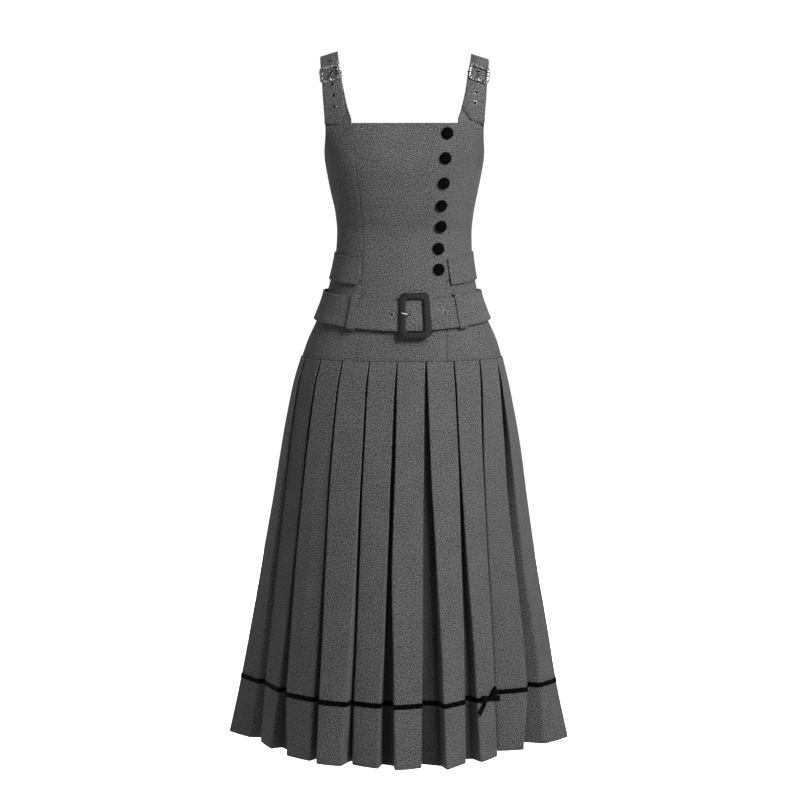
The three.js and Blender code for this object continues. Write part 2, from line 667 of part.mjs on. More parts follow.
function strapProng(side) {
  const front = STRAP_FRAME.back + STRAP_FRAME.thick;
  const path = [
    [1.2, BAR_CENTRE + 1.6],
    [1.2, 0.6],
    [1, STRAP_CLOTH + 0.6],
    [-1.4, STRAP_CLOTH + 2.5],
    [-6, front],
    [-12, front + 1.2],
    [-17, front + 1.1],
  ].map(([v, n]) => new THREE.Vector3(0, v, n));
  const ring = prongRing().rotateY(Math.PI / 2).translate(0, 0, BAR_CENTRE);
  return prong(ring, path).applyMatrix4(eyeletFrame(side, STRAP_BUCKLE_AT));
}

function addStraps() {
  for (const [name, side] of [["left", -1], ["right", 1]]) {
    addPiece("side_front_" + name, sideFront(side), CLOTH);
    addPiece("strap_" + name, strap(side), CLOTH);
    addPiece("strap_buckle_" + name, strapBuckle(side), SILVER);
    addPiece("strap_prong_" + name, strapProng(side), SILVER);
    strapEyelets.forEach((along, k) => {
      const ring = eyelet(STRAP_CLOTH).applyMatrix4(eyeletFrame(side, along));
      addPiece(`strap_eyelet_${name}_${k + 1}`, ring, SILVER);
    });
  }
}

// A frame on the body's surface: right, up the surface, and out of it.
function surfaceFrame(z, angle, out) {
  const { place } = body.point(z, angle, out);
  const right = body.point(z, angle + 0.5).place.sub(body.point(z, angle - 0.5).place).normalize();
  const up = body.point(z + 8, angle).place.sub(body.point(z - 8, angle).place);
  up.addScaledVector(right, -up.dot(right)).normalize();
  const normal = new THREE.Vector3().crossVectors(right, up);
  return new THREE.Matrix4().makeBasis(right, up, normal).setPosition(place);
}

// Covered buttons, domed, beside the overlapping edge.
function addButtons() {
  const profile = [
    [0, 0],
    [8.2, 0],
    [BUTTON_RADIUS, 2],
    [9.4, 4],
    [6.6, 5.8],
    [0, BUTTON_HEIGHT],
  ].map(([x, y]) => new THREE.Vector2(x, y));
  const dome = new THREE.LatheGeometry(profile, 12).rotateX(Math.PI / 2);
  BUTTONS.forEach(({ z, inset, out }, k) => {
    const angle = frontSeamAngle(z) - inset / body.lengthPerDegree(z, 30);
    const frame = surfaceFrame(z, angle, PLACKET_LIFT + out);
    addPiece("button_" + (k + 1), dome.clone().applyMatrix4(frame), VELVET);
  });
}

// Pocket flaps: from the front seam round to the side, standing away from the body towards the bottom.
const FLAP = { topInner: -340, topOuter: -331, bottomInner: -383, bottomOuter: -375, cloth: 2.2,
  endAngle: 95, topOut: 0.7, bottomOut: 3, sideFlat: 0.5 };

function flap(side) {
  const grid = (out) =>
    steps(4, 0, 1).map((up) => {
      const row = steps(7, 0, 1).map((across) => {
        const z = mix(mix(FLAP.bottomInner, FLAP.bottomOuter, across),
          mix(FLAP.topInner, FLAP.topOuter, across), up);
        const inner = body.angleAcross(z, frontSeamX(z) + mix(9, 2.2, up));
        const angle = mix(inner, FLAP.endAngle, across);
        const standing = mix(FLAP.bottomOut, FLAP.topOut, up ** 0.7) * (1 - FLAP.sideFlat * across);
        return body.point(z, side * angle, out + standing).place;
      });
      return side > 0 ? row : row.reverse();
    });
  return wall(grid(FLAP.cloth), grid(0));
}

// Belt. A point of it is given by turn, height above its middle, and distance out of the body.
const beltMiddle = (turn) => BELT_SIDE_Z - BELT_FRONT_DIP * clamp01(Math.cos(radians(turn))) ** 1.5;

function beltPoint(turn, height, out) {
  const z = beltMiddle(turn);
  const rise = body.point(z + 20, turn).place.distanceTo(body.point(z - 20, turn).place) / 40;
  return body.point(z + height / rise, turn, out).place;
}

const beltOut = curveThrough(BELT_LAY, "turn", "out");
const buckleScale = body.lengthPerDegree(beltMiddle(BELT_BUCKLE_ANGLE), BELT_BUCKLE_ANGLE, BELT_TOP_OUT);
const buckleTurn = (u) => BELT_BUCKLE_ANGLE + u / buckleScale;
const BELT_BAR_OUT = BELT_LAY[0].out - SEAM_GAP - BUCKLE_BAR_RADIUS;
const beltEyelets = [-1.29, -0.29, 0.71, 1.71, 2.71].map((k) => k * BELT_EYELET_PITCH);

function beltBuckleFrame(u, height, out) {
  const middle = beltPoint(buckleTurn(u), height, out);
  const right = beltPoint(buckleTurn(u + 1), height, out).sub(beltPoint(buckleTurn(u - 1), height, out));
  const up = beltPoint(buckleTurn(u), height + 1, out).sub(beltPoint(buckleTurn(u), height - 1, out));
  right.normalize();
  up.addScaledVector(right, -up.dot(right)).normalize();
  const normal = new THREE.Vector3().crossVectors(right, up);
  return new THREE.Matrix4().makeBasis(right, up, normal).setPosition(middle);
}

function belt() {
  const fold = foldOverBar(BELT_BAR_OUT, 12)
    .map(({ x, y }) => new THREE.Vector2(-x, y))
    .reverse();
  const first = fold.map(({ x, y }) => ({ turn: buckleTurn(x), out: y }));
  const firstOuter = offsetPath(fold, BELT_CLOTH - 0.05).map(({ x, y }) => ({ turn: buckleTurn(x), out: y }));
  const turns = [BELT_BUCKLE_ANGLE + 2.6, 18, 23, 29, ...steps(30, 36, 336), 346, 354, ...steps(6, 360, 389),
    ...steps(7, 396, BELT_TIP_TURN)];
  const stations = turns.map((turn) => ({ turn, out: beltOut(turn) }));
  const grid = (start, cloth) =>
    [-0.5, 0, 0.5].map((share) => {
      const columns = [...start, ...stations.map(({ turn, out }) => ({ turn, out: out + cloth }))];
      return columns.map(({ turn, out }, k) => {
        const tip = k === columns.length - 1 && share === 0 ? 6 : 0;
        return beltPoint(turn + tip, share * BELT_WIDTH, out);
      });
    });
  const slot = new THREE.BoxGeometry(7, 3.2, 7).applyMatrix4(beltBuckleFrame(0, EYELET_ROW, 3.6));
  const holes = beltEyelets.map((u) =>
    new THREE.CylinderGeometry(2.75, 2.75, 3.6, 7).rotateX(Math.PI / 2)
      .applyMatrix4(beltBuckleFrame(u, EYELET_ROW, beltOut(360 + buckleTurn(u)) + 1.1)));
  return pierced(wall(grid(firstOuter, BELT_CLOTH), grid(first, 0)), [slot, ...holes]);
}

const BELT_FRAME = { halfWidth: 26, halfHeight: 37.6, openHalfWidth: 14.7, openHalfHeight: 26.6, back: 10.8,
  thick: 4.2 };

function beltBuckle() {
  const { halfWidth, halfHeight, openHalfWidth, openHalfHeight, back, thick } = BELT_FRAME;
  const ring = outlineRing(
    roundedOutline(halfWidth, halfHeight, 9, 4, 4),
    roundedOutline(openHalfWidth, openHalfHeight, 1.5, 4, 4),
    [
      { inward: 0, high: back },
      { inward: 1, high: back },
      { inward: 1, high: back + thick * 0.6 },
      { inward: 0.82, high: back + thick },
      { inward: 0.2, high: back + thick },
      { inward: 0, high: back + thick * 0.6 },
    ],
  );
  const place = ring.getAttribute("position");
  for (let i = 0; i < place.count; i++) {
    const p = beltPoint(buckleTurn(place.getX(i)), place.getY(i), place.getZ(i));
    place.setXYZ(i, p.x, p.y, p.z);
  }
  const barEnd = openHalfHeight + 2.6;
  const along = (height, out) => beltPoint(BELT_BUCKLE_ANGLE, height, out);
  const barPath = [
    along(-barEnd, back + 1),
    along(-barEnd, BELT_BAR_OUT + 1),
    along(-barEnd + 1, BELT_BAR_OUT),
    along(0, BELT_BAR_OUT),
    along(barEnd - 1, BELT_BAR_OUT),
    along(barEnd, BELT_BAR_OUT + 1),
    along(barEnd, back + 1),
  ];
  const legs = barPath.slice(1).map((to, i) => straightRod(barPath[i], to, BUCKLE_BAR_RADIUS));
  return joined([ring, ...legs]);
}

// A straight rod with a ball at each end, so that rods meet at any angle.
function straightRod(from, to, radius) {
  const length = from.distanceTo(to);
  const turn = new THREE.Quaternion().setFromUnitVectors(
    new THREE.Vector3(0, 1, 0),
    to.clone().sub(from).divideScalar(length),
  );
  const middle = from.clone().lerp(to, 0.5);
  const piece = new THREE.CapsuleGeometry(radius, length, 2, 6);
  return piece.applyMatrix4(new THREE.Matrix4().compose(middle, turn, new THREE.Vector3(1, 1, 1)));
}

function beltProng() {
  const front = BELT_FRAME.back + BELT_FRAME.thick;
  const path = [
    [-1.6, 0, BELT_BAR_OUT + 1.4],
    [-6, 0, 5.4],
    [-8.3, 0, 6.1],
    [-8.6, 0, 7.4],
    [-8.6, 0, 9],
    [-9, 0.2, 10.8],
    [-11.2, 0.9, 13.4],
    [-15.5, 2.2, front + 1.6],
    [-22.5, 4.4, front + 1.1],
  ].map(([u, v, n]) => beltPoint(buckleTurn(u), v + EYELET_ROW, n));
  const ring = prongRing().rotateX(Math.PI / 2);
  return prong(ring.applyMatrix4(beltBuckleFrame(0, EYELET_ROW, BELT_BAR_OUT)), path);
}

// A belt loop: a strip sewn down above and below the belt, over which the belt runs.
function beltLoop(angle) {
  const under = Math.max(beltOut(angle < 0 ? angle + 360 : angle),
    beltOut(angle > 0 && angle < 90 ? angle + 360 : angle < 0 ? angle + 360 : angle));
  const reach = under + BELT_CLOTH + 1.1;
  const half = [
    [-31, 0.6],
    [-28.6, 0.6],
    [-27.4, 2.6],
    [-27, reach - 1],
    [-25.2, reach],
  ];
  const path = [...half, ...half.map(([height, out]) => [-height, out]).reverse()]
    .map(([height, out]) => new THREE.Vector2(height, out));
  const perDegree = body.lengthPerDegree(beltMiddle(angle), angle);
  const grid = (points) =>
    points.map(({ x, y }) => [-6.8, 6.8].map((u) => beltPoint(angle + u / perDegree, x, y)));
  return wall(grid(offsetPath(path, 1.5)), grid(path));
}

function addBelt() {
  addPiece("belt", belt(), CLOTH);
  addPiece("belt_buckle", beltBuckle(), COVERED);
  addPiece("belt_prong", beltProng(), SILVER);
  beltEyelets.forEach((u, k) => {
    const out = beltOut(360 + buckleTurn(u)) + 0.1;
    const ring = eyelet(BELT_CLOTH).applyMatrix4(beltBuckleFrame(u, EYELET_ROW, out));
    addPiece("belt_eyelet_" + (k + 1), ring, SILVER);
  });
  for (const [name, angle] of Object.entries(BELT_LOOP_ANGLES)) addPiece(name, beltLoop(angle), CLOTH);
}

// Skirt

const seamAngles = skirtEnvelope.evenAngles(YOKE_SEAM_Z, FIRST_PLEAT_ANGLE, PLEATS)
  .slice(0, PLEATS);

// The two seam angles between which a face starts, the first face being the front's leftmost.
function faceSeamAngles(face) {
  const slot = (face - FACES_LEFT_OF_FIRST + PLEATS) % PLEATS;
  const wrap = face < FACES_LEFT_OF_FIRST ? -360 : 0;
  const from = seamAngles[slot] + wrap;
  const to = slot + 1 < PLEATS ? seamAngles[slot + 1] + wrap : FIRST_PLEAT_ANGLE;
  return [from, to];
}

// One face of the skirt at a height: its two edges, its middle and the inward direction at each edge.
function pleatFace(face, z) {
  const { at, out, wide, turn } = PLEAT_FACES[face];
  const fall = clamp01((YOKE_SEAM_Z - z) / (YOKE_SEAM_Z - HEM_Z));
  const [from, to] = faceSeamAngles(face);
  const angle = mix((from + to) / 2, at, fall);
  const perDegree = skirtEnvelope.lengthPerDegree(z, angle);
  const seamWidth = (to - from) * skirtEnvelope.lengthPerDegree(YOKE_SEAM_Z, angle) - SEAM_PLEAT_GAP;
  const width = mix(seamWidth, wide, fall);
  const centre = skirtEnvelope.point(z, angle, out * fall);
  const along = new THREE.Vector3(-centre.normal.y, centre.normal.x, 0);
  along.applyAxisAngle(new THREE.Vector3(0, 0, 1), radians(turn * fall));
  const edge = (end) => {
    const flat = centre.place.clone().addScaledVector(along, (end * width) / 2);
    const bent = skirtEnvelope.point(z, angle + (end * width) / 2 / perDegree, out * fall).place;
    return bent.lerp(flat, fall);
  };
  return { left: edge(-1), middle: centre.place, right: edge(1), along, inward: centre.normal.negate() };
}

// The corners of the recess behind an edge, tucked under the face at the seam and open at the hem.
function recessCorner(face, end, deep, z) {
  const fall = clamp01((YOKE_SEAM_Z - z) / (YOKE_SEAM_Z - HEM_Z));
  const { left, right, along, inward } = pleatFace(face, z);
  const edge = end > 0 ? right : left;
  const depth = mix(SEAM_RECESS_DEPTH, deep, fall ** 0.85);
  const under = SEAM_UNDERLAP * (1 - fall) ** 1.6 + 0.5;
  return edge.clone().addScaledVector(inward, depth).addScaledVector(along, -end * under);
}

// The middle line of the skirt's cloth in plan at a height, over a run of faces, with the sign of y
// turned so that outwards is to the left of the path.
function skirtPath(faces, z) {
  const path = [];
  faces.forEach((face, k) => {
    const before = (face - 1 + PLEATS) % PLEATS;
    const after = (face + 1) % PLEATS;
    const start = recessCorner(face, -1, PLEAT_FACES[before].deep, z);
    const end = recessCorner(face, 1, PLEAT_FACES[face].deep, z);
    const halfway = (a, b, gap) => {
      const middle = a.clone().lerp(b, 0.5);
      return middle.addScaledVector(a.clone().sub(b).normalize(), gap);
    };
    if (k === 0)
      path.push(halfway(start, recessCorner(before, 1, PLEAT_FACES[before].deep, z), SEAM_GAP / 2));
    const { left, middle, right } = pleatFace(face, z);
    path.push(start, left, middle, right, end);
    if (k === faces.length - 1)
      path.push(halfway(end, recessCorner(after, -1, PLEAT_FACES[face].deep, z), SEAM_GAP / 2));
  });
  return path.map((p) => new THREE.Vector2(p.x, -p.y));
}

const FRONT_FACES = [0, 1, 2, 3, 4, 5, 6, 7, 8, 9];
const BACK_FACES = [10, 11, 12, 13, 14, 15, 16, 17, 18, 19];

// A wall that follows the pleats, between two distances from the middle line of the cloth.
function pleatedWall(faces, heights, outside, inside) {
  const grid = (distance) =>
    [...heights].reverse().map((z) =>
      offsetPath(skirtPath(faces, z), distance).map((p) => new THREE.Vector3(p.x, -p.y, z)));
  return wall(grid(outside), grid(inside));
}

function addSkirt() {
  const half = SKIRT_CLOTH / 2;
  const ribbonRows = [RIBBON_TOP_Z, RIBBON_TOP_Z - RIBBON_WIDTH];
  for (const [name, faces] of [["front", FRONT_FACES], ["back", BACK_FACES]]) {
    addPiece("skirt_" + name, pleatedWall(faces, SKIRT_ROWS, half, -half), CLOTH);
    const under = half + SEAM_GAP;
    addPiece("hem_ribbon_" + name, pleatedWall(faces, ribbonRows, under + RIBBON_CLOTH, under), VELVET);
  }
}

// Bow: two loops, two tails and a knot on the eighth face, over the ribbon.
const BOW_FACE = 7;
const BOW = { ribbon: 8, cloth: 0.9, knotHalfWidth: 2.6, knotHeight: 9.5, knotDepth: 5.6 };
const BOW_LOOPS = { bow_loop_left: { side: -1, long: 18, rise: -6 },
  bow_loop_right: { side: 1, long: 21, rise: 32 } };
const BOW_TAILS = { bow_tail_left: { side: -1, long: 30, rise: -38 },
  bow_tail_right: { side: 1, long: 29, rise: -8 } };

// A strip of ribbon along a path of (along, out) points, its width growing from the knot outwards.
function ribbonStrip(path, widthAt) {
  const grid = (points) =>
    [-0.5, 0.5].map((share) =>
      points.map(({ x, y }, k) => new THREE.Vector3(x, share * widthAt(path[k].x), y)));
  return wall(grid(offsetPath(path, BOW.cloth)), grid(path));
}

function addBow() {
  const z = RIBBON_TOP_Z - RIBBON_WIDTH / 2;
  const { left, middle, right } = pleatFace(BOW_FACE, z);
  const along = right.clone().sub(left).normalize();
  const up = pleatFace(BOW_FACE, z + 20).middle.sub(pleatFace(BOW_FACE, z - 20).middle);
  up.addScaledVector(along, -up.dot(along)).normalize();
  const out = new THREE.Vector3().crossVectors(along, up);
  const bow = new THREE.Group();
  bow.matrixAutoUpdate = false;
  const clear = SKIRT_CLOTH / 2 + SEAM_GAP + RIBBON_CLOTH + 0.7;
  bow.matrix.makeBasis(along, up, out).setPosition(middle.clone().addScaledVector(out, clear));
  dress.add(bow);
  const knotSize = [2 * BOW.knotHalfWidth, BOW.knotHeight, BOW.knotDepth];
  const knot = new THREE.BoxGeometry(...knotSize).translate(0, 0, BOW.knotDepth / 2);
  addPiece("bow_knot", knot, VELVET, bow);
  const startOf = (rise) => {
    const tilt = Math.abs(radians(rise));
    return (BOW.knotHalfWidth + SEAM_GAP + 2.5 * Math.sin(tilt)) / Math.cos(tilt);
  };
  for (const [name, { side, long, rise }] of Object.entries(BOW_LOOPS)) {
    const start = startOf(rise);
    const end = start + long;
    const path = [
      [start, 3.9],
      [mix(start, end, 0.5), 5.4],
      [end - 3, 5],
      [end, 3.4],
      [end - 3, 1.9],
      [mix(start, end, 0.5), 1.5],
      [start, 2.2],
    ].map(([x, y]) => new THREE.Vector2(x, y));
    const loop = ribbonStrip(path.reverse(), (x) => mix(5, BOW.ribbon, smooth((x - start) / 12)));
    if (side < 0) loop.rotateZ(Math.PI);
    loop.rotateZ(side * radians(rise));
    addPiece(name, loop, VELVET, bow);
  }
  for (const [name, { side, long, rise }] of Object.entries(BOW_TAILS)) {
    const start = startOf(rise);
    const path = [
      [start, 0.2],
      [start + 6, 0.1],
      [start + long, 0.3],
    ].map(([x, y]) => new THREE.Vector2(x, y));
    const tail = ribbonStrip(path, (x) => mix(4.5, BOW.ribbon, smooth((x - start) / 10)));
    if (side < 0) tail.rotateZ(Math.PI);
    tail.rotateZ(side * radians(rise));
    addPiece(name, tail, VELVET, bow);
  }
}

addFrontCentre();
addBackPanels();
addStraps();
addButtons();
addPiece("pocket_flap_left", flap(-1), CLOTH);
addPiece("pocket_flap_right", flap(1), CLOTH);
addBelt();
addSkirt();
addBow();

export default dress;
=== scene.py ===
"""Pinafore dress in charcoal wool: the fine cloth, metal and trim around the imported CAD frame.

Sizes below are in millimetres and are turned into metres where meshes are made. The front faces -Y and +Z
is up. A side is -1 for the viewer's left and 1 for the viewer's right. An angle is measured in plan from
the centre front, positive towards +X. "Out" is a distance away from the body's surface.
"""

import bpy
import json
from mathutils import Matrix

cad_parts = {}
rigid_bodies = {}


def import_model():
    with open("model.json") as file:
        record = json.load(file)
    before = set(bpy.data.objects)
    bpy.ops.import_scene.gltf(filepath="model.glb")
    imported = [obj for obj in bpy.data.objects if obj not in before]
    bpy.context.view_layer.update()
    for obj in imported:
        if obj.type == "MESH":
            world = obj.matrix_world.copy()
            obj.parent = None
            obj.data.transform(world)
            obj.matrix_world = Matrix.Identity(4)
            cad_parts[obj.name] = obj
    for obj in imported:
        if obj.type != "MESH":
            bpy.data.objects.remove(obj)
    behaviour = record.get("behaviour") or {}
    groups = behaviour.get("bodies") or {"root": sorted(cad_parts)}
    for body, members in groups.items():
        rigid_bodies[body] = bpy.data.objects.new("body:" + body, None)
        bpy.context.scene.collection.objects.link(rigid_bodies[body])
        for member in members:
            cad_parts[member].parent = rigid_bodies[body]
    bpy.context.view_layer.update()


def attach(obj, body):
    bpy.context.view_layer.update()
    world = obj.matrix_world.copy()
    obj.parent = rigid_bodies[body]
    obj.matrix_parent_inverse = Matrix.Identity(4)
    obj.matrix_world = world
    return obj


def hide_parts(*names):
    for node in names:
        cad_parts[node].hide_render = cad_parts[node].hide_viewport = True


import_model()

import json
import logging
import math
from dataclasses import dataclass
from enum import Enum
from typing import Callable, Iterable, Sequence

import bmesh
import bpy
import numpy as np
from mathutils import Matrix, Vector
from mathutils.kdtree import KDTree

LOG = logging.getLogger("pinafore")
MM = 0.001
Array = np.ndarray
Curve = Callable[[Array], Array]


# Numbers and curves

def mix(a: Array, b: Array, share: Array) -> Array:
    """Returns the value a share of the way from a to b."""
    return a + (b - a) * share


def smooth(share: Array) -> Array:
    """Returns a share eased at both ends, held between 0 and 1."""
    held = np.clip(share, 0, 1)
    return held * held * (3 - 2 * held)


def unit(vectors: Array) -> Array:
    """Returns vectors of length one along the last axis."""
    return vectors / np.maximum(np.linalg.norm(vectors, axis=-1, keepdims=True), 1e-12)


def curve_through(keys: Sequence[float], values: Sequence[float]) -> Curve:
    """Makes a smooth curve through a table's rows that never overshoots them.

    Args:
        keys: where each value stands, in any order.
        values: the value at each key.

    Returns:
        A function from an array of keys to an array of values.
    """
    order = np.argsort(keys)
    at, value = np.asarray(keys, float)[order], np.asarray(values, float)[order]
    rise = np.diff(value) / np.diff(at)
    slope = np.concatenate([rise[:1], np.zeros(len(at) - 2), rise[-1:]])
    total = rise[:-1] + rise[1:]
    product = rise[:-1] * rise[1:]
    slope[1:-1] = np.where(product > 0, 2 * product / np.where(product > 0, total, 1), 0)

    def curve(x: Array) -> Array:
        """Returns the curve's value at x."""
        i = np.clip(np.searchsorted(at, x, side="right") - 1, 0, len(at) - 2)
        span = at[i + 1] - at[i]
        t = np.clip((x - at[i]) / span, 0, 1)
        bend = span * t * (1 - t) * ((1 - t) * slope[i] - t * slope[i + 1])
        return mix(value[i], value[i + 1], t * t * (3 - 2 * t)) + bend

    return curve


@dataclass(frozen=True)
class Table:
    """Rows of numbers under named columns."""

    columns: tuple[str, ...]
    rows: tuple[tuple[float, ...], ...]

    def column(self, name: str) -> list[float]:
        """Returns the numbers of a column."""
        k = self.columns.index(name)
        return [row[k] for row in self.rows]

    def curve(self, key: str, name: str) -> Curve:
        """Returns a smooth curve of one column over another."""
        return curve_through(self.column(key), self.column(name))


# The CAD's own sizes, which the fine cloth follows

NECKLINE_Z, BACK_TOP_Z, UNDERARM_Z, YOKE_SEAM_Z, HEM_Z = -118.0, -146.0, -190.0, -507.0, -1158.0
SEAM_GAP, PANEL_CLOTH, BACK_SEAM_ANGLE = 0.3, 1.6, 145.0
OVERLAP_WIDTH, PLACKET_WIDTH, PLACKET_RAMP = 10.0, 28.0, 18.0
PLACKET_LIFT = PANEL_CLOTH + 0.5
PLACKET_END_Z, PLACKET_OPEN_Z, PLACKET_FLAT_Z = -374.0, -386.0, -402.0
PLEATS, FIRST_PLEAT_ANGLE, FACES_LEFT_OF_FIRST = 20, -3.6, 5
SKIRT_CLOTH, SEAM_PLEAT_GAP, SEAM_RECESS_DEPTH, SEAM_UNDERLAP = 1.4, 3.2, 6.5, 17.0
RIBBON_WIDTH, RIBBON_TOP_Z, RIBBON_CLOTH = 8.0, -1054.5, 0.8
STRAP_CLOTH, STRAP_CREST_TILT, STRAP_BUCKLE_AT = 2.2, 2.2, 88.0
STRAP_EYELET_INWARD, BUCKLE_BAR_RADIUS = 1.5, 1.1
BELT_CLOTH, BELT_WIDTH, BELT_SIDE_Z, BELT_FRONT_DIP = 2.0, 51.0, -419.0, 13.0
BELT_BUCKLE_ANGLE, BELT_EYELET_PITCH, BELT_TOP_OUT, EYELET_ROW = 9.8, 29.6, 12.0, 1.4

BODY_SECTIONS = Table(("z", "half", "front", "back", "square", "lean"), (
    (-90, 138, 101, 84, 3.2, 0), (-118, 138, 105, 86, 3.2, 0), (-150, 137, 110, 87, 2.9, -0.4),
    (-190, 131, 113, 86, 2.5, -0.4), (-230, 123.5, 106, 80, 2.3, -0.4), (-268, 115.7, 96, 75, 2.25, 0),
    (-300, 112.8, 89.5, 74, 2.2, -0.2), (-330, 114, 92, 79, 2.2, -0.8), (-360, 117.8, 97, 87, 2.2, -2),
    (-390, 124, 102, 95, 2.2, -3.2), (-420, 133, 107.5, 101, 2.2, -3.5), (-450, 145.5, 113.5, 108, 2.2, -3.5),
    (-480, 159, 119, 113, 2.2, -3.8), (-508, 168, 124, 118, 2.2, -4.5)))
SKIRT_SECTIONS = Table(("z", "half", "front", "back", "square", "lean"), (
    (-507, 169, 125, 119, 2.2, -4.5), (-548, 181, 136, 129, 2.15, -5.8), (-582, 189, 143, 137, 2.1, -6.1),
    (-650, 202.6, 156, 151, 2.05, -6.4), (-753, 218.9, 175, 169, 1.98, -8.1),
    (-855, 235.8, 193, 186, 1.92, -9.8), (-959, 253.6, 211, 203, 1.87, -10),
    (-1063, 271, 229, 220, 1.83, -11.4), (-1158, 290, 245, 235, 1.8, -11.6)))
FRONT_SEAM = Table(("z", "x"), ((-118, 87), (-162, 82.5), (-225, 75.5), (-268, 71), (-301, 69.3),
                                (-340, 68.5), (-400, 69.5), (-456, 72), (-508, 75)))
ARMHOLE_FRONT = Table(("z", "y"), ((-118, 66), (-130, 62), (-150, 51), (-168, 36), (-182, 17), (-190, 0)))
ARMHOLE_BACK = Table(("z", "y"), ((-146, 55), (-160, 42), (-175, 26), (-185, 12), (-190, 0)))
STRAP_PATH = Table(("x", "y", "z", "yaw", "drop", "tab", "strap"), (
    (109, -84.5, -118, 29.6, 0, 50.6, 38.5), (112.6, -79, -98, 25, 2, 42.5, 37.5),
    (116.4, -71, -74, 20, 7, 37.8, 36.2), (118.7, -62.5, -57, 17, 12, 35, 34),
    (121.3, -49, -38, 14, 18, 33, 32.4), (123.8, -32, -20.5, 11, 19, 32, 32),
    (125.2, -13, -10, 6, 18, 31, 31), (125.5, 8, -7, 1, 17, 30.5, 30.5),
    (125.3, 29, -13, -5, 14, 30, 30), (123.2, 47, -30, -11, 9, 31, 31),
    (119.3, 60.5, -58, -17, 4, 32, 32), (113.5, 67.5, -98, -25, 0, 34.5, 34.5),
    (106.8, 65, -145.7, -34, 0, 37.6, 37.6)))
STRAP_TIPS = {-1: Table(("across", "below"), ((0, -4.2), (0.36, -0.6), (0.72, 3), (1, -10))),
              1: Table(("across", "below"), ((0, -6), (0.36, -5), (0.72, -4), (1, -18)))}
STRAP_EYELETS_AT = {-1: (27, 46.2, 66.5, 91, 116), 1: (34.1, 52.3, 72, 93, 108.5)}
BUTTONS = Table(("z", "inset", "out"), (
    (-135, 15.5, -0.25), (-175.5, 15.5, 0), (-215.8, 14.5, 0.2), (-252.6, 14.5, 0.55),
    (-287.1, 12.5, 1.1), (-323.8, 14.5, 0.45), (-357.9, 12.5, 0.4)))
BELT_LAY = Table(("turn", "out"), (
    (9.8, 5.1), (22, 4.4), (36, 2.6), (60, 1.8), (120, 1.8), (180, 3.5), (270, 5.2), (325, 6),
    (350, 7.4), (372, 7.6), (384, 6.9), (396, 5.4), (420, 4.9), (450, 5), (470, 4.6)))
BELT_TIP_TURN = 462.0
BELT_LOOPS = {"belt_loop_front_left": -40, "belt_loop_front_right": 47, "belt_loop_back_right": 138,
              "belt_loop_back_left": -138}
PLEAT_FACES = Table(("at", "out", "wide", "turn", "deep"), (
    (-91.5, -17, 56, 44, 30), (-70.9, -44, 52, -9, 16), (-45.1, -21, 52, -7, 28), (-28.4, -6, 45, 1, 28),
    (-13.9, -15, 48, -19, 24), (3.8, -3, 45, 16, 22), (23, -2, 52, 35, 22), (41.3, -24, 52, 24, 20),
    (58.2, -42, 45, -33, 32), (82.4, -11, 55, -25, 30), (99, -14, 50, 14, 24), (116, -22, 48, -10, 28),
    (133, -8, 50, 8, 25), (150, -5, 47, -14, 30), (167.5, -15, 49, 10, 26), (185, -4, 47, -6, 28),
    (202, -13, 50, 15, 24), (219, -16, 48, -12, 29), (235.5, -8, 49, 9, 26), (251, -18, 50, -16, 24)))


TRIM_HEIGHTS = (-512, -685, -845, -1045, -1154)
PLEAT_TRIM = {
    (0, "right"): (6, 12, 12, 10, 6), (1, "left"): (2.8, -1.5, -4, -8, 4),
    (1, "right"): (5, 8.4, 12, 9.6, 10), (2, "left"): (3.1, -2.4, -5, -6.7, 4.1),
    (2, "right"): (1.6, 3.8, 8.9, 6.9, 7.7), (3, "left"): (-0.1, -2.9, 0.2, 1.7, 2.5),
    (3, "right"): (2.1, 6.8, 9.9, 7.4, 2.6), (4, "left"): (-0.1, -0.8, 1.7, 1.1, 1.6),
    (4, "right"): (1.4, 1.8, 4.5, 3.3, 3.9), (5, "left"): (-0.7, -4.6, -7.1, -1.9, 1.1),
    (5, "right"): (1.1, -0.9, 0.1, 1.3, 2), (6, "left"): (-0.1, -3.6, 0.7, 2.3, -0.3),
    (6, "right"): (1.5, -0.4, 0.1, 1.7, 3.2), (7, "left"): (0, -7.5, -4.8, -1.4, -3.8),
    (7, "right"): (3.4, -7.7, -6.7, -4.3, -3.8), (8, "left"): (3, -12, -8.2, -4.7, -4.5),
    (8, "right"): (3.8, -1.9, 6.3, 12, -4.6), (9, "left"): (5, -12, -11.1, -1.3, -12)}


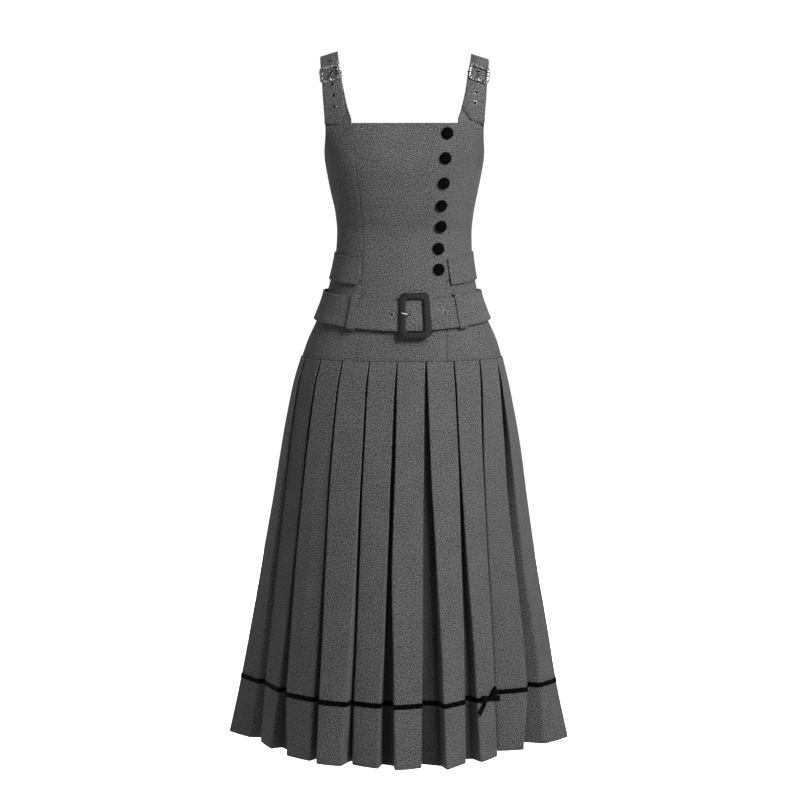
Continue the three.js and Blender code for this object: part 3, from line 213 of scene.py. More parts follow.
class Envelope:
    """A stack of closed plan sections, each a superellipse with its own front and back depth."""

    def __init__(self, sections: Table) -> None:
        """Takes the table of sections."""
        names = ("half", "front", "back", "square", "lean")
        self.half, self.front, self.back, self.square, self.lean = (
            sections.curve("z", name) for name in names)

    def point(self, z: Array, angle: Array, out: Array = 0.0) -> tuple[Array, Array]:
        """Finds points of the surface.

        Args:
            z: heights.
            angle: angles in degrees.
            out: distances out of the surface.

        Returns:
            The points and the outward directions, each with x, y, z on the last axis.
        """
        z, angle, out = np.broadcast_arrays(np.asarray(z, float), np.asarray(angle, float), out)
        turn, power, half = np.radians(angle), self.square(z), self.half(z)
        depth = np.where(np.cos(turn) > 0, self.front(z), self.back(z))
        across, along = np.sin(turn) / half, -np.cos(turn) / depth
        reach = (np.abs(across) ** power + np.abs(along) ** power) ** (-1 / power)
        flat = np.stack([np.sign(across) * np.abs(across * reach) ** (power - 1) / half,
                         np.sign(along) * np.abs(along * reach) ** (power - 1) / depth, 0 * z], -1)
        normal = unit(flat)
        place = np.stack([reach * np.sin(turn) + self.lean(z), -reach * np.cos(turn), z], -1)
        return place + normal * out[..., None], normal

    def angle_across(self, z: Array, x: Array) -> Array:
        """Returns the angle of the front point a distance x to the side of the axis."""
        power = self.square(z)
        depth = self.front(z) * (1 - (np.abs(x) / self.half(z)) ** power) ** (1 / power)
        return np.degrees(np.arctan2(x, depth))

    def angle_along(self, z: Array, y: Array) -> Array:
        """Returns the angle of the point of side 1 a distance before or behind the axis."""
        power = self.square(z)
        depth = np.where(y > 0, self.front(z), self.back(z))
        across = self.half(z) * (1 - (np.abs(y) / depth) ** power) ** (1 / power)
        return np.degrees(np.arctan2(across, y))

    def length_per_degree(self, z: Array, angle: Array, out: Array = 0.0) -> Array:
        """Returns the millimetres of the section's length for each degree."""
        ahead, behind = self.point(z, angle + 0.5, out)[0], self.point(z, angle - 0.5, out)[0]
        return np.linalg.norm(ahead - behind, axis=-1)

    def even_angles(self, z: float, first: float, count: int) -> Array:
        """Returns angles that split a section into stretches of equal length."""
        fine = np.linspace(first, first + 360, 1441)
        places = self.point(z, fine)[0]
        run = np.concatenate([[0], np.cumsum(np.linalg.norm(np.diff(places, axis=0), axis=1))])
        goals = np.linspace(0, run[-1], count + 1)
        return np.array([fine[np.argmax(run >= goal - 1e-6)] for goal in goals])


BODY = Envelope(BODY_SECTIONS)
SKIRT = Envelope(SKIRT_SECTIONS)
front_seam_x = FRONT_SEAM.curve("z", "x")
armhole_front_y = ARMHOLE_FRONT.curve("z", "y")
armhole_back_y = ARMHOLE_BACK.curve("z", "y")


def front_seam_angle(z: Array) -> Array:
    """Returns the angle of the right princess seam at a height."""
    return BODY.angle_across(z, front_seam_x(z))


def placket_lift(z: Array, angle: Array) -> Array:
    """Returns how far the front centre panel stands out where it laps over the next panel."""
    to_edge = (front_seam_angle(z) - angle) * BODY.length_per_degree(z, angle)
    height = np.clip((z - PLACKET_FLAT_Z) / (PLACKET_OPEN_Z - PLACKET_FLAT_Z), 0, 1)
    return PLACKET_LIFT * height * smooth((PLACKET_WIDTH + PLACKET_RAMP - to_edge) / PLACKET_RAMP)


# Meshes

CLOTH_APART = 1171.0
FACE_APART = 173.0


def directions(grid: Array, axis: int) -> Array:
    """Returns the mean direction of the two steps that meet at each point, along an axis of a grid."""
    steps = unit(np.diff(grid, axis=axis))
    first, last = np.take(steps, [0], axis), np.take(steps, [-1], axis)
    return unit(np.concatenate([first, steps], axis) + np.concatenate([steps, last], axis))


def grid_normals(grid: Array) -> Array:
    """Returns the outward directions of a grid whose rows go up and columns to the right."""
    return unit(np.cross(directions(grid, 1), directions(grid, 0)))


def grain(grid: Array, number: int, straight: Sequence[int] = (), pleat_shade_mask: Array | float = 0.0) -> Array:
    """Returns the cloth's own coordinates of a grid.

    Args:
        grid: the cloth's surface.
        number: the piece's number, which keeps its mottling apart from other pieces'.
        straight: the columns along which the grain runs straight, or none for the middle one.
        pleat_shade_mask: the weight of painted shade for each column, by how deep it lies in a pleat's recess,
            from 0 to 1.

    Returns:
        The place across and up the cloth, in millimetres, and the weight of painted pleat shade, for each point.
    """
    steps_across = np.linalg.norm(np.diff(grid, axis=1), axis=2)
    across = np.concatenate([np.zeros((len(grid), 1)), np.cumsum(steps_across, axis=1)], axis=1)
    columns = np.arange(grid.shape[1])
    anchors = np.array(straight or (grid.shape[1] // 2,))
    nearest = np.argmin(np.abs(columns[:, None] - anchors[None, :]), axis=1)
    steps_up = np.linalg.norm(np.diff(grid, axis=0), axis=2)
    up = np.concatenate([np.zeros((1, grid.shape[1])), np.cumsum(steps_up, axis=0)])
    apart = number * CLOTH_APART + nearest[None, :] * FACE_APART
    return np.stack([across - across[:, anchors[nearest]] + apart, up, pleat_shade_mask + 0 * across], -1)


def link_piece(name: str, mesh: bpy.types.Mesh) -> bpy.types.Object:
    """Returns a new object with a mesh, in the scene."""
    piece = bpy.data.objects.new(name, mesh)
    bpy.context.scene.collection.objects.link(piece)
    return piece


def make_mesh(name: str, points: Array, faces: Array, cloth: Array | None = None) -> bpy.types.Object:
    """Makes a smooth-shaded object from points in millimetres.

    Args:
        name: the object's name.
        points: its vertices.
        faces: rows of three or four vertex numbers, facing out.
        cloth: the cloth's own coordinates of each vertex, with the weight of painted pleat shade as the third.

    Returns:
        The object, linked to the scene.
    """
    mesh = bpy.data.meshes.new(name)
    mesh.from_pydata((points * MM).tolist(), [], faces.tolist())
    mesh.shade_smooth()
    if cloth is not None:
        layer = mesh.attributes.new("cloth", "FLOAT_VECTOR", "POINT")
        layer.data.foreach_set("vector", np.ascontiguousarray(cloth, dtype=np.float32).ravel())
    return link_piece(name, mesh)


def sheet_mesh(name: str, grid: Array, thick: Array | float, straight: Sequence[int] = (),
               pleat_shade_mask: Array | float = 0.0) -> bpy.types.Object:
    """Makes a thin closed shell of cloth with rounded edges.

    Args:
        name: the object's name.
        grid: the outer surface, rows going up and columns to the right as seen from outside.
        thick: the cloth's thickness, or one for each point of the grid.
        straight: the columns along which the grain runs straight.
        pleat_shade_mask: the weight of painted shade for each column, by how deep it lies in a pleat's recess,
            from 0 to 1.

    Returns:
        The shell.
    """
    rows, columns = grid.shape[:2]
    thick = np.broadcast_to(np.asarray(thick, float), (rows, columns))[..., None]
    normal = grid_normals(grid)
    cloth = grain(grid, len(bpy.data.objects), straight, pleat_shade_mask)
    outer = grid.copy()
    inward = np.zeros_like(outer)
    inward[:, 0] += unit(outer[:, 1] - outer[:, 0])
    inward[:, -1] += unit(outer[:, -2] - outer[:, -1])
    inward[0] += unit(outer[1] - outer[0])
    inward[-1] += unit(outer[-2] - outer[-1])
    half = thick / 2
    outer = outer + inward * half
    inner = outer - normal * thick
    index = np.arange(rows * columns).reshape(rows, columns)
    rim = np.concatenate([index[0, :-1], index[:-1, -1], index[-1, :0:-1], index[:0:-1, 0]])
    flat_outer, flat_inner = outer.reshape(-1, 3), inner.reshape(-1, 3)
    centre = (flat_outer[rim] + flat_inner[rim]) / 2
    away = -unit(inward.reshape(-1, 3)[rim])
    radius = half.reshape(-1, 1)[rim]
    turns = np.radians([50, 0, -50])
    rounds = [centre + radius * (np.cos(t) * away + np.sin(t) * normal.reshape(-1, 3)[rim]) for t in turns]
    quads = np.stack([index[:-1, :-1], index[:-1, 1:], index[1:, 1:], index[1:, :-1]], -1).reshape(-1, 4)
    count, loop = rows * columns, len(rim)
    levels = [rim] + [2 * count + k * loop + np.arange(loop) for k in range(3)] + [rim + count]
    faces = [quads, quads[:, ::-1] + count]
    for upper, lower in zip(levels, levels[1:]):
        faces.append(np.stack([np.roll(upper, -1), upper, lower, np.roll(lower, -1)], -1))
    points = np.concatenate([flat_outer, flat_inner, *rounds])
    flat_cloth = cloth.reshape(-1, 3)
    marks = np.concatenate([flat_cloth, flat_cloth, *[flat_cloth[rim]] * 3])
    return make_mesh(name, points, np.concatenate(faces), marks)


def loft_mesh(name: str, rings: Array, closed: bool) -> bpy.types.Object:
    """Makes a body from a row of closed rings.

    Args:
        name: the object's name.
        rings: points, with the ring's number on the first axis and the place round it on the second.
        closed: whether the last ring joins the first. Otherwise both ends are capped.

    Returns:
        The body, facing out.
    """
    count, around = rings.shape[:2]
    index = np.arange(count * around).reshape(count, around)
    following = np.roll(index, -1, axis=0) if closed else index[1:]
    current = index if closed else index[:-1]
    quads = np.stack([current, np.roll(current, -1, axis=1), np.roll(following, -1, axis=1), following], -1)
    points, faces = rings.reshape(-1, 3), [quads.reshape(-1, 4).tolist()]
    if not closed:
        ends = np.stack([rings[0].mean(0), rings[-1].mean(0)])
        first, last = index[0], index[-1]
        points = np.concatenate([points, ends])
        faces.append([[b, a, count * around] for a, b in zip(first, np.roll(first, -1))])
        faces.append([[a, b, count * around + 1] for a, b in zip(last, np.roll(last, -1))])
    mesh = bpy.data.meshes.new(name)
    mesh.from_pydata((points * MM).tolist(), [], [face for group in faces for face in group])
    body = bmesh.new()
    body.from_mesh(mesh)
    bmesh.ops.recalc_face_normals(body, faces=body.faces)
    body.to_mesh(mesh)
    body.free()
    mesh.shade_smooth()
    return link_piece(name, mesh)


def tube_mesh(name: str, path: Array, radius: Array, sides: int = 10) -> bpy.types.Object:
    """Makes a round rod along a path, with its own radius at each point."""
    tangent = unit(np.gradient(path, axis=0))
    across = np.array([0.31, 0.52, 0.79])
    turns = np.linspace(0, 2 * np.pi, sides, endpoint=False)
    rings = []
    for place, ahead, reach in zip(path, tangent, np.broadcast_to(radius, len(path))):
        across = unit(across - ahead * (across @ ahead))
        upward = np.cross(ahead, across)
        rings.append([place + reach * (math.cos(t) * across + math.sin(t) * upward) for t in turns])
    return loft_mesh(name, np.array(rings), closed=False)


def smooth_path(points: Array, count: int) -> Array:
    """Returns a smooth path of a given number of points through a few points."""
    points = np.asarray(points, float)
    run = np.concatenate([[0], np.cumsum(np.linalg.norm(np.diff(points, axis=0), axis=1))])
    padded = np.concatenate([2 * points[:1] - points[1:2], points, 2 * points[-1:] - points[-2:-1]])
    goal = np.linspace(0, run[-1], count)
    i = np.clip(np.searchsorted(run, goal, side="right") - 1, 0, len(points) - 2)
    t = ((goal - run[i]) / (run[i + 1] - run[i]))[:, None]
    a, b, c, d = (padded[i + k] for k in range(4))
    return 0.5 * (2 * b + (c - a) * t + (2 * a - 5 * b + 4 * c - d) * t ** 2
                  + (3 * b - a - 3 * c + d) * t ** 3)


def join_pieces(name: str, pieces: Sequence[bpy.types.Object]) -> bpy.types.Object:
    """Joins objects into the first, which takes the name, and returns it."""
    with bpy.context.temp_override(active_object=pieces[0], selected_editable_objects=list(pieces)):
        bpy.ops.object.join()
    pieces[0].name = pieces[0].data.name = name
    return pieces[0]


def plain_mesh(piece: bpy.types.Object) -> bpy.types.Object:
    """Applies an object's modifiers to its mesh and removes them."""
    graph = bpy.context.evaluated_depsgraph_get()
    mesh = bpy.data.meshes.new_from_object(piece.evaluated_get(graph), depsgraph=graph)
    piece.modifiers.clear()
    old, piece.data = piece.data, mesh
    mesh.name = piece.name
    bpy.data.meshes.remove(old)
    return piece


def pierce(piece: bpy.types.Object, cutters: Sequence[bpy.types.Object]) -> bpy.types.Object:
    """Cuts holes through a shell and gives the new edges the cloth's coordinates of their neighbours."""
    old_cloth = [tuple(d.vector) for d in piece.data.attributes["cloth"].data]
    tree = KDTree(len(old_cloth))
    for k, vertex in enumerate(piece.data.vertices):
        tree.insert(vertex.co, k)
    tree.balance()
    cutter = join_pieces("cutter", cutters)
    cut = piece.modifiers.new("holes", "BOOLEAN")
    cut.operation, cut.solver, cut.object = "DIFFERENCE", "EXACT", cutter
    plain_mesh(piece)
    bpy.data.objects.remove(cutter)
    marks = [old_cloth[tree.find(vertex.co)[1]] for vertex in piece.data.vertices]
    layer = piece.data.attributes.get("cloth") or piece.data.attributes.new("cloth", "FLOAT_VECTOR", "POINT")
    layer.data.foreach_set("vector", np.array(marks, np.float32).ravel())
    return piece


# Shader maths

class Value:
    """A number in a shader that takes part in Python arithmetic."""

    def __init__(self, shade: "Shade", socket: bpy.types.NodeSocket) -> None:
        """Takes the shader and the output socket that gives the number."""
        self.shade, self.socket = shade, socket

    def math(self, operation: str, *others: "Value | float") -> "Value":
        """Returns the result of a Math node on this number and others."""
        sockets = {k: other for k, other in enumerate((self, *others))}
        return self.shade.node("ShaderNodeMath", {"operation": operation}, sockets).value()

    def __add__(self, other: "Value | float") -> "Value":
        """Returns self + other."""
        return self.math("ADD", other)

    __radd__ = __add__

    def __mul__(self, other: "Value | float") -> "Value":
        """Returns self * other."""
        return self.math("MULTIPLY", other)

    __rmul__ = __mul__

    def __sub__(self, other: "Value | float") -> "Value":
        """Returns self - other."""
        return self.math("SUBTRACT", other)

    def __rsub__(self, other: "Value | float") -> "Value":
        """Returns other - self."""
        return self * -1 + other

    def held(self) -> "Value":
        """Returns the number held between 0 and 1."""
        return self.math("MINIMUM", 1.0).math("MAXIMUM", 0.0)


class Made:
    """A node that has been made, with short ways to its outputs."""

    def __init__(self, shade: "Shade", node: bpy.types.Node) -> None:
        """Takes the shader and its new node."""
        self.shade, self.node = shade, node

    def out(self, name: str | int = 0) -> bpy.types.NodeSocket:
        """Returns an output socket."""
        return self.node.outputs[name]

    def value(self, name: str | int = 0) -> Value:
        """Returns an output as a number for arithmetic."""
        return Value(self.shade, self.node.outputs[name])


class Shade:
    """A material that is being put together."""

    def __init__(self, name: str) -> None:
        """Makes an empty node material with an output."""
        self.material = bpy.data.materials.new(name)
        self.material.use_nodes = True
        self.tree = self.material.node_tree
        self.tree.nodes.clear()

    def node(self, kind: str, settings: dict[str, object] | None = None,
             sockets: dict[str | int, object] | None = None) -> Made:
        """Adds a node.

        Args:
            kind: the node's type.
            settings: its own settings; "stops" are a colour ramp's (place, grey) pairs.
            sockets: values or links for its inputs, by name or number.

        Returns:
            The node.
        """
        node = self.tree.nodes.new(kind)
        for name, setting in (settings or {}).items():
            if name == "stops":
                ramp = node.color_ramp
                for place, grey in setting[2:]:
                    ramp.elements.new(place)
                for element, (place, grey) in zip(ramp.elements, setting):
                    element.position, element.color = place, (grey, grey, grey, 1)
            else:
                setattr(node, name, setting)
        for name, given in (sockets or {}).items():
            given = given.socket if isinstance(given, Value) else given
            given = given.out() if isinstance(given, Made) else given
            if isinstance(given, bpy.types.NodeSocket):
                self.tree.links.new(given, node.inputs[name])
            else:
                node.inputs[name].default_value = given
        return Made(self, node)

    def cloth_place(self) -> bpy.types.NodeSocket:
        """Returns the cloth's own coordinates in millimetres, with the weight of painted pleat shade as the third.
        """
        return self.node("ShaderNodeAttribute", {"attribute_name": "cloth"}).out("Vector")

    def object_place(self) -> bpy.types.NodeSocket:
        """Returns the Object coordinates, in metres."""
        return self.node("ShaderNodeTexCoord").out("Object")

    def noise(self, place: bpy.types.NodeSocket, scale: float, detail: float = 2.0,
              rough: float = 0.5, space: str = "3D") -> Value:
        """Returns smooth noise between about 0 and 1, in space or on the flat ("2D")."""
        sockets = {"Vector": place, "Scale": scale, "Detail": detail, "Roughness": rough}
        return self.node("ShaderNodeTexNoise", {"noise_dimensions": space}, sockets).value("Fac")

    def stretched(self, place: bpy.types.NodeSocket, scale: tuple[float, float, float],
                  turn: float = 0.0) -> bpy.types.NodeSocket:
        """Returns coordinates scaled and turned about their third axis."""
        sockets = {"Vector": place, "Scale": scale, "Rotation": (0, 0, turn)}
        return self.node("ShaderNodeMapping", None, sockets).out()

    def ramp(self, share: Value, *stops: tuple[float, float]) -> Value:
        """Returns a number that follows a ramp's (place, height) stops."""
        return self.node("ShaderNodeValToRGB", {"stops": stops}, {0: share}).value()

    def grey(self, share: Value, dark: Sequence[float], light: Sequence[float]) -> bpy.types.NodeSocket:
        """Returns a colour between two, by a share."""
        made = self.node("ShaderNodeMix", {"data_type": "RGBA"},
                         {0: share, 6: (*dark, 1), 7: (*light, 1)})
        return made.out(2)

    def finish(self, bump: Value | None, height: float, **sockets: object) -> bpy.types.Material:
        """Ends the material in a Principled shader.

        Args:
            bump: the relief's height, between 0 and 1.
            height: the relief's real height in metres.
            **sockets: the shader's inputs, with _ for a space.

        Returns:
            The material.
        """
        inputs = {name.replace("_", " "): given for name, given in sockets.items()}
        if bump is not None:
            inputs["Normal"] = self.node("ShaderNodeBump", None, {"Distance": height, "Height": bump})
        shader = self.node("ShaderNodeBsdfPrincipled", None, inputs)
        self.node("ShaderNodeOutputMaterial", None, {"Surface": shader.out()})
        return self.material


@dataclass(frozen=True)
class Wool:
    """Heathered charcoal wool: mottled, with pale flecks and a fine twill, and darkened in the pleats' recesses by
    painted shade.
    """

    name: str
    dark: float = 0.009
    light: float = 0.165
    contrast: float = 6.2
    twill: float = 2.1
    # How strongly painted shade darkens the cloth in the pleats' recesses.
    shaded: float = 0.7

    def material(self) -> bpy.types.Material:
        """Returns the cloth's material."""
        shade = Shade(self.name)
        place = shade.cloth_place()
        mottle = shade.noise(place, 0.66, 3.0, 0.65, "2D")
        fibre = shade.noise(shade.stretched(place, (1.5, 0.5, 1.0), 0.35), 0.7, 1.0, space="2D")
        broad = shade.noise(place, 0.02, 1.0, space="2D")
        fleck = shade.noise(shade.stretched(place, (1.0, 0.6, 1.0), -0.3), 1.3, 0.0, space="2D")
        flecks = shade.ramp(fleck, (0.66, 0.0), (0.78, 1.0))
        parts = shade.node("ShaderNodeSeparateXYZ", None, {0: place})
        ribs = (parts.value(0) * self.twill + parts.value(1) * (self.twill * 1.25)).math("SINE")
        tone = (mottle - 0.5) * self.contrast + (fibre - 0.5) * 2.6 + (broad - 0.5) * 0.22 + ribs * 0.1
        share = (tone + 0.36 + flecks * 0.35).held()
        # Painted shade: the cloth's third coordinate, high in a pleat's recess, darkens the colour there.
        share = share * (1 - parts.value(2) * self.shaded)
        colour = shade.grey(share, (self.dark,) * 3, (self.light, self.light, self.light * 1.01))
        relief = mottle * 0.6 + fibre * 0.5 + ribs * 0.35
        return shade.finish(relief, 0.0007, Base_Color=colour, Roughness=0.92, Specular_IOR_Level=0.18,
                            Sheen_Weight=0.06, Sheen_Roughness=0.45, Sheen_Tint=(0.9, 0.9, 0.92, 1))


@dataclass(frozen=True)
class Velvet:
    """Short black velvet pile."""

    name: str

    def material(self) -> bpy.types.Material:
        """Returns the pile's material."""
        shade = Shade(self.name)
        place = shade.object_place()
        pile = shade.noise(place, 1400.0, 2.0)
        brushed = shade.noise(place, 90.0, 1.0)
        colour = shade.grey((pile * 0.6 + brushed * 0.4).held(), (0.0003,) * 3, (0.0012, 0.0012, 0.0013))
        return shade.finish(pile, 0.0004, Base_Color=colour, Roughness=0.95, Specular_IOR_Level=0.04,
                            Sheen_Weight=0.02, Sheen_Roughness=0.3, Sheen_Tint=(0.5, 0.5, 0.55, 1))


@dataclass(frozen=True)
class CoveredFrame:
    """The belt buckle's covering: dark, close felt, pulled smooth."""

    name: str

    def material(self) -> bpy.types.Material:
        """Returns the covering's material."""
        shade = Shade(self.name)
        place = shade.object_place()
        felt = shade.noise(place, 1100.0, 3.0, 0.6)
        worn = shade.noise(place, 60.0, 1.0)
        colour = shade.grey((felt * 0.7 + worn * 0.3).held(), (0.0025,) * 3, (0.008, 0.008, 0.0085))
        return shade.finish(felt, 0.0003, Base_Color=colour, Roughness=0.7, Specular_IOR_Level=0.2,
                            Sheen_Weight=0.05, Sheen_Roughness=0.4)


@dataclass(frozen=True)
class Silver:
    """Polished silver-coloured metal with a little tarnish in patches."""

    name: str
    bright: float = 0.86
    dull: float = 0.36
    middle: float = 0.52
    scale: float = 260.0
    matt: float = 0.14

    def material(self) -> bpy.types.Material:
        """Returns the metal's material."""
        shade = Shade(self.name)
        place = shade.object_place()
        cloud = shade.noise(place, self.scale, 2.0, 0.6)
        scratches = shade.noise(shade.stretched(place, (1.0, 6.0, 1.0)), 900.0, 2.0)
        tarnish = shade.ramp(cloud, (self.middle - 0.08, 0.0), (self.middle + 0.08, 1.0))
        colour = shade.grey(tarnish, (self.bright,) * 3, (self.dull,) * 3)
        rough = tarnish * 0.16 + scratches * 0.1 + self.matt
        return shade.finish(scratches, 0.00002, Base_Color=colour, Metallic=1.0, Roughness=rough)


@dataclass(frozen=True)
class Thread:
    """Grey sewing thread, twisted."""

    name: str

    def material(self) -> bpy.types.Material:
        """Returns the thread's material."""
        shade = Shade(self.name)
        strand = shade.noise(shade.object_place(), 2400.0, 1.0)
        colour = shade.grey(strand.held(), (0.02,) * 3, (0.075, 0.075, 0.077))
        return shade.finish(strand, 0.0001, Base_Color=colour, Roughness=0.75, Specular_IOR_Level=0.3)


class Finish(Enum):
    """The dress's finishes, each with its material slot in the record."""

    WOOL = ("wool", "wool_cloth")
    THREAD = ("thread", "wool_cloth")
    VELVET = ("velvet", "velvet")
    COVERED = ("covered", "covered_frame")
    SILVER = ("silver", "silver_metal")
    CHASED = ("chased silver", "silver_metal")
    TARNISHED = ("tarnished silver", "silver_metal")


class Wardrobe:
    """Gives each piece its finish and its place in the frame."""

    def __init__(self) -> None:
        """Makes the finishes."""
        makers = {Finish.WOOL: Wool("charcoal_wool"), Finish.VELVET: Velvet("black_velvet"),
                  Finish.COVERED: CoveredFrame("covered_frame"), Finish.SILVER: Silver("silver_metal"),
                  Finish.CHASED: Silver("chased_silver", 0.42, 0.02, 0.52, 380.0, 0.22),
                  Finish.TARNISHED: Silver("tarnished_silver", 0.3, 0.05, 0.5, 700.0, 0.36),
                  Finish.THREAD: Thread("grey_thread")}
        self.materials = {finish: maker.material() for finish, maker in makers.items()}

    def dress(self, piece: bpy.types.Object, finish: Finish, nodes: Iterable[str] = ()) -> bpy.types.Object:
        """Finishes a piece, attaches it to the root body and hides the CAD nodes that it replaces.

        Args:
            piece: the piece.
            finish: its finish.
            nodes: the CAD nodes that it replaces.

        Returns:
            The piece.
        """
        piece.data.materials.clear()
        piece.data.materials.append(self.materials[finish])
        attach(piece, "root")
        if nodes:
            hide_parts(*nodes)
        LOG.info("%s: %d faces, %s", piece.name, len(piece.data.polygons), finish.value[0])
        return piece


# Stitches, by Geometry Nodes

class StitchRun:
    """Runs of stitches along paths, from one tree of geometry nodes."""

    def __init__(self, thread: bpy.types.Material) -> None:
        """Builds the tree with its named inputs."""
        tree = bpy.data.node_groups.new("stitch_run", "GeometryNodeTree")
        self.tree = tree
        add = tree.interface.new_socket
        add("Geometry", in_out="INPUT", socket_type="NodeSocketGeometry")
        self.inputs = {}
        for name, kind, value in (("Pitch", "NodeSocketFloat", 3.2 * MM),
                                  ("Stitch length", "NodeSocketFloat", 2.2 * MM),
                                  ("Thread radius", "NodeSocketFloat", 0.22 * MM)):
            socket = add(name, in_out="INPUT", socket_type=kind)
            socket.default_value = value
            self.inputs[name] = socket.identifier
        material = add("Material", in_out="INPUT", socket_type="NodeSocketMaterial")
        material.default_value = thread
        add("Geometry", in_out="OUTPUT", socket_type="NodeSocketGeometry")
        make, link = tree.nodes.new, tree.links.new
        given, result = make("NodeGroupInput"), make("NodeGroupOutput")
        evenly = make("GeometryNodeResampleCurve")
        evenly.mode = "LENGTH"
        link(given.outputs["Geometry"], evenly.inputs["Curve"])
        link(given.outputs["Pitch"], evenly.inputs["Length"])
        tangent = make("GeometryNodeInputTangent")
        facing = make("FunctionNodeAlignRotationToVector")
        facing.axis = "X"
        link(tangent.outputs[0], facing.inputs["Vector"])
        ball = make("GeometryNodeMeshUVSphere")
        ball.inputs["Segments"].default_value, ball.inputs["Rings"].default_value = 6, 4
        ball.inputs["Radius"].default_value = 1.0
        half = make("ShaderNodeMath")
        half.operation, half.inputs[1].default_value = "MULTIPLY", 0.5
        link(given.outputs["Stitch length"], half.inputs[0])
        size = make("ShaderNodeCombineXYZ")
        link(half.outputs[0], size.inputs[0])
        link(given.outputs["Thread radius"], size.inputs[1])
        link(given.outputs["Thread radius"], size.inputs[2])
        copies = make("GeometryNodeInstanceOnPoints")
        link(evenly.outputs[0], copies.inputs["Points"])
        link(ball.outputs["Mesh"], copies.inputs["Instance"])
        link(facing.outputs[0], copies.inputs["Rotation"])
        link(size.outputs[0], copies.inputs["Scale"])
        real = make("GeometryNodeRealizeInstances")
        shaded = make("GeometryNodeSetShadeSmooth")
        paint = make("GeometryNodeSetMaterial")
        link(copies.outputs[0], real.inputs[0])
        link(real.outputs[0], shaded.inputs[0])
        link(shaded.outputs[0], paint.inputs["Geometry"])
        link(given.outputs["Material"], paint.inputs["Material"])
        link(paint.outputs[0], result.inputs[0])

    def sew(self, name: str, paths: Sequence[Array], **sizes: float) -> bpy.types.Object:
        """Makes stitches along paths.

        Args:
            name: the object's name.
            paths: rows of points in millimetres.
            **sizes: Pitch, Stitch_length and Thread_radius in millimetres, where they differ.

        Returns:
            The stitches as one plain mesh.
        """
        curve = bpy.data.curves.new(name, "CURVE")
        curve.dimensions = "3D"
        for path in paths:
            spline = curve.splines.new("POLY")
            spline.points.add(len(path) - 1)
            spline.points.foreach_set("co", np.c_[path * MM, np.ones(len(path))].ravel())
        source = bpy.data.objects.new(name + "_path", curve)
        bpy.context.scene.collection.objects.link(source)
        sewn = source.modifiers.new("stitches", "NODES")
        sewn.node_group = self.tree
        for key, size in sizes.items():
            sewn[self.inputs[key.replace("_", " ")]] = size * MM
        graph = bpy.context.evaluated_depsgraph_get()
        mesh = bpy.data.meshes.new_from_object(source.evaluated_get(graph), depsgraph=graph)
        bpy.data.objects.remove(source)
        return link_piece(name, mesh)


# Creases

@dataclass(frozen=True)
class Crease:
    """A soft trough along a line on the cloth, in the angle and height of the body or of a pleat face."""

    start: tuple[float, float]
    end: tuple[float, float]
    wide: float
    deep: float

    def depth(self, across: Array, z: Array) -> Array:
        """Returns how deep the trough is at points given in millimetres across and up."""
        ax, az = self.start
        dx, dz = self.end[0] - ax, self.end[1] - az
        share = ((across - ax) * dx + (z - az) * dz) / (dx * dx + dz * dz)
        held = np.clip(share, 0, 1)
        apart = np.hypot(across - ax - held * dx, z - az - held * dz)
        fade = np.sin(np.pi * np.clip(0.08 + 0.84 * held, 0, 1))
        return self.deep * fade * np.exp(-(apart / self.wide) ** 2)


BODICE_CREASES = (
    Crease((-64, -296), (-8, -285), 7, 0.7), Crease((-66, -318), (-22, -311), 6, 0.5),
    Crease((66, -300), (20, -291), 7, 0.6), Crease((-40, -378), (-12, -396), 8, 0.6),
    Crease((18, -372), (40, -398), 7, 0.6), Crease((-52, -182), (-30, -226), 12, 0.5),
    Crease((30, -168), (18, -222), 12, 0.45), Crease((-10, -455), (10, -500), 9, 0.4),
    Crease((50, -452), (42, -500), 8, 0.4), Crease((-48, -450), (-40, -498), 8, 0.45),
    Crease((-96, -292), (-74, -300), 6, 0.6), Crease((98, -288), (78, -297), 6, 0.6),
    Crease((-104, -240), (-92, -275), 8, 0.5), Crease((104, -236), (93, -276), 8, 0.5),
    Crease((-96, -455), (-88, -503), 9, 0.4), Crease((100, -455), (92, -503), 9, 0.4))
BACK_CREASES = (
    Crease((-60, -300), (-10, -306), 7, 0.8), Crease((62, -296), (14, -301), 7, 0.7),
    Crease((-50, -322), (-16, -327), 6, 0.6), Crease((52, -318), (20, -324), 6, 0.6),
    Crease((-8, -200), (6, -260), 12, 0.5), Crease((-96, -296), (-72, -301), 6, 0.6),
    Crease((96, -300), (72, -304), 6, 0.6), Crease((-30, -455), (-22, -502), 9, 0.4),
    Crease((34, -452), (28, -500), 9, 0.4))


def body_relief(z: Array, angle: Array) -> Array:
    """Returns how far the creases take the bodice's surface out of its envelope."""
    place = BODY.point(z, angle)[0]
    front = np.cos(np.radians(angle)) > 0
    relief = np.zeros(place.shape[:-1])
    for chosen, creases in ((front, BODICE_CREASES), (~front, BACK_CREASES)):
        for crease in creases:
            relief -= np.where(chosen, crease.depth(place[..., 0], place[..., 2]), 0)
    return relief


# Bodice

